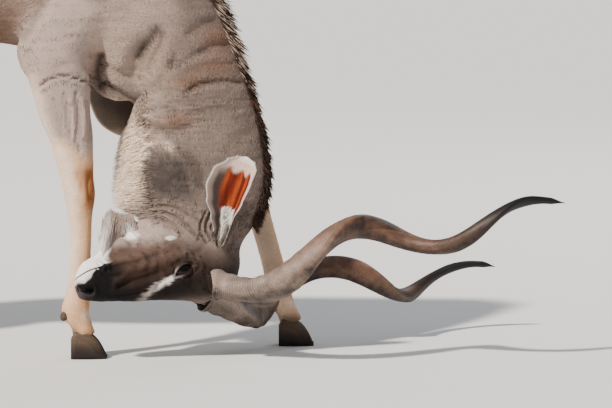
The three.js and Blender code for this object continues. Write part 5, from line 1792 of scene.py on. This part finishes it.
def clawPoint(coronet, side, turn, share):
    # An arch over a flat sole, narrower by share^2.6 and lower by share^3.6 to the toe
    angle = 2 * np.pi * turn
    across = power(np.cos(angle), 0.8)
    up = np.maximum(np.sin(angle), 0) ** 0.75
    x = claws["heel"] + (claws["toe"] - claws["heel"]) * share
    high = claws["height"] * np.maximum(0.1, 1 - share ** 3.6) * (1 - 0.25 * (1 - ease(share, 0, 0.12)))
    half = claws["half"] * (1 - 0.82 * share ** 2.6) * (0.8 + 0.2 * ease(share, 0, 0.12))
    ring = 0.35 * np.sin(high * up / 2.1) * np.abs(np.sin(angle))
    y = side * (claws["apart"] + claws["splay"] * x * (1 - 0.55 * share)) + (half + ring) * across
    return np.stack([coronet[0] + x, coronet[1] + y, high * up], -1)


def clawColour(point):
    # Dark below and brown above, with fine growth lines
    low, top = (ink(code) for code in claws["colours"])
    colour = low + (top - low) * ease(point[:, 2] / claws["paleFrom"], 0.2, 1)[:, None]
    return np.clip(colour * (1 + 0.15 * np.sin(point[:, 2] / 1.7))[:, None], 0.003, 1)


hoofHorn = coatMaterial("hoofHorn")


def makeFoot(name, leg):
    # Two claws in the place of their nodes, and two egg-shaped dewclaws behind them
    for side, part in ((1, "left"), (-1, "right")):
        points, faces = tube(clawPoint(leg["coronet"], side, *gridOf(*claws["grid"])))
        makePiece(f"claw_{name}_{part}", points, faces, clawColour(points), hoofHorn,
                  f"hoof_{name}_{part}")
    shapes = []
    tilt = dewclaws["tilt"]
    turned = np.array([[math.cos(tilt), 0, math.sin(tilt)], [0, 1, 0],
                       [-math.sin(tilt), 0, math.cos(tilt)]])
    long, wide, high = dewclaws["size"]
    for side in (1, -1):
        turn, share = gridOf(*dewclaws["grid"])
        polar, around = np.pi * share, 2 * np.pi * turn
        egg = np.stack([long * np.sin(polar) * np.cos(around), wide * np.sin(polar) * np.sin(around),
                        -high * np.cos(polar)], -1)
        back, aside, low = dewclaws["at"]
        shapes.append(tube(egg @ turned.T + np.array(leg["fetlock"]) + [back, side * aside, low]))
    points, faces = joined(shapes)
    makePiece(f"dewclaws_{name}", points, faces, clawColour(points * [1, 1, 0.4]), hoofHorn)


for name, leg in legs.items():
    makeFoot(name, leg)


# Eyes: a dark wet ball with a brown iris and a long pupil

eyeball = {"radius": 22.4, "iris": 15.5, "pupil": (11.5, 6.2), "grid": (72, 48),
           "colours": ("0b0706", "22130b")}


def makeEye(side, name, node):
    # A ball with a round iris and an oval pupil, turned by the slant of the lids
    turn, share = gridOf(*eyeball["grid"])
    polar, around = np.pi * share, 2 * np.pi * turn
    ball = np.stack([np.sin(polar) * np.cos(around), side * np.cos(polar),
                     np.sin(polar) * np.sin(around)], -1)
    slant = math.radians(skin["eye"]["slant"])
    long = ball[..., 0] * math.cos(slant) + ball[..., 2] * math.sin(slant)
    high = -ball[..., 0] * math.sin(slant) + ball[..., 2] * math.cos(slant)
    r = eyeball["radius"]
    seen = (side * ball[..., 1] > 0).ravel()
    iris = (np.hypot(long, high) * r / eyeball["iris"]).ravel()
    pupil = np.hypot(long * r / eyeball["pupil"][0], high * r / eyeball["pupil"][1]).ravel()
    eye = skin["eye"]
    local = ball * r + np.array([eye["back"], side * eye["side"], eye["deep"]])
    points, faces = tube(headPoint(local[..., 0], local[..., 1], local[..., 2]))
    dark, brown = (ink(code) for code in eyeball["colours"])
    amount = ((1 - ease(iris, 0.8, 1.05)) * ease(pupil, 0.9, 1.3) * seen)[:, None]
    colour = np.tile(dark, (pupil.size, 1))
    colour = colour + (brown - colour) * amount
    colour = colour * (1 - 0.85 * ((1 - ease(pupil, 0.9, 1.1)) * seen))[:, None]
    makePiece(name, points, faces, np.vstack([colour, colour[-1:], colour[:1]]), eyeWet, node)


eyeWet = coatMaterial("eyeWet")
makeEye(1, "eyeball_right", "eye_right")
makeEye(-1, "eyeball_left", "eye_left")
print("hooves and eyes are in")
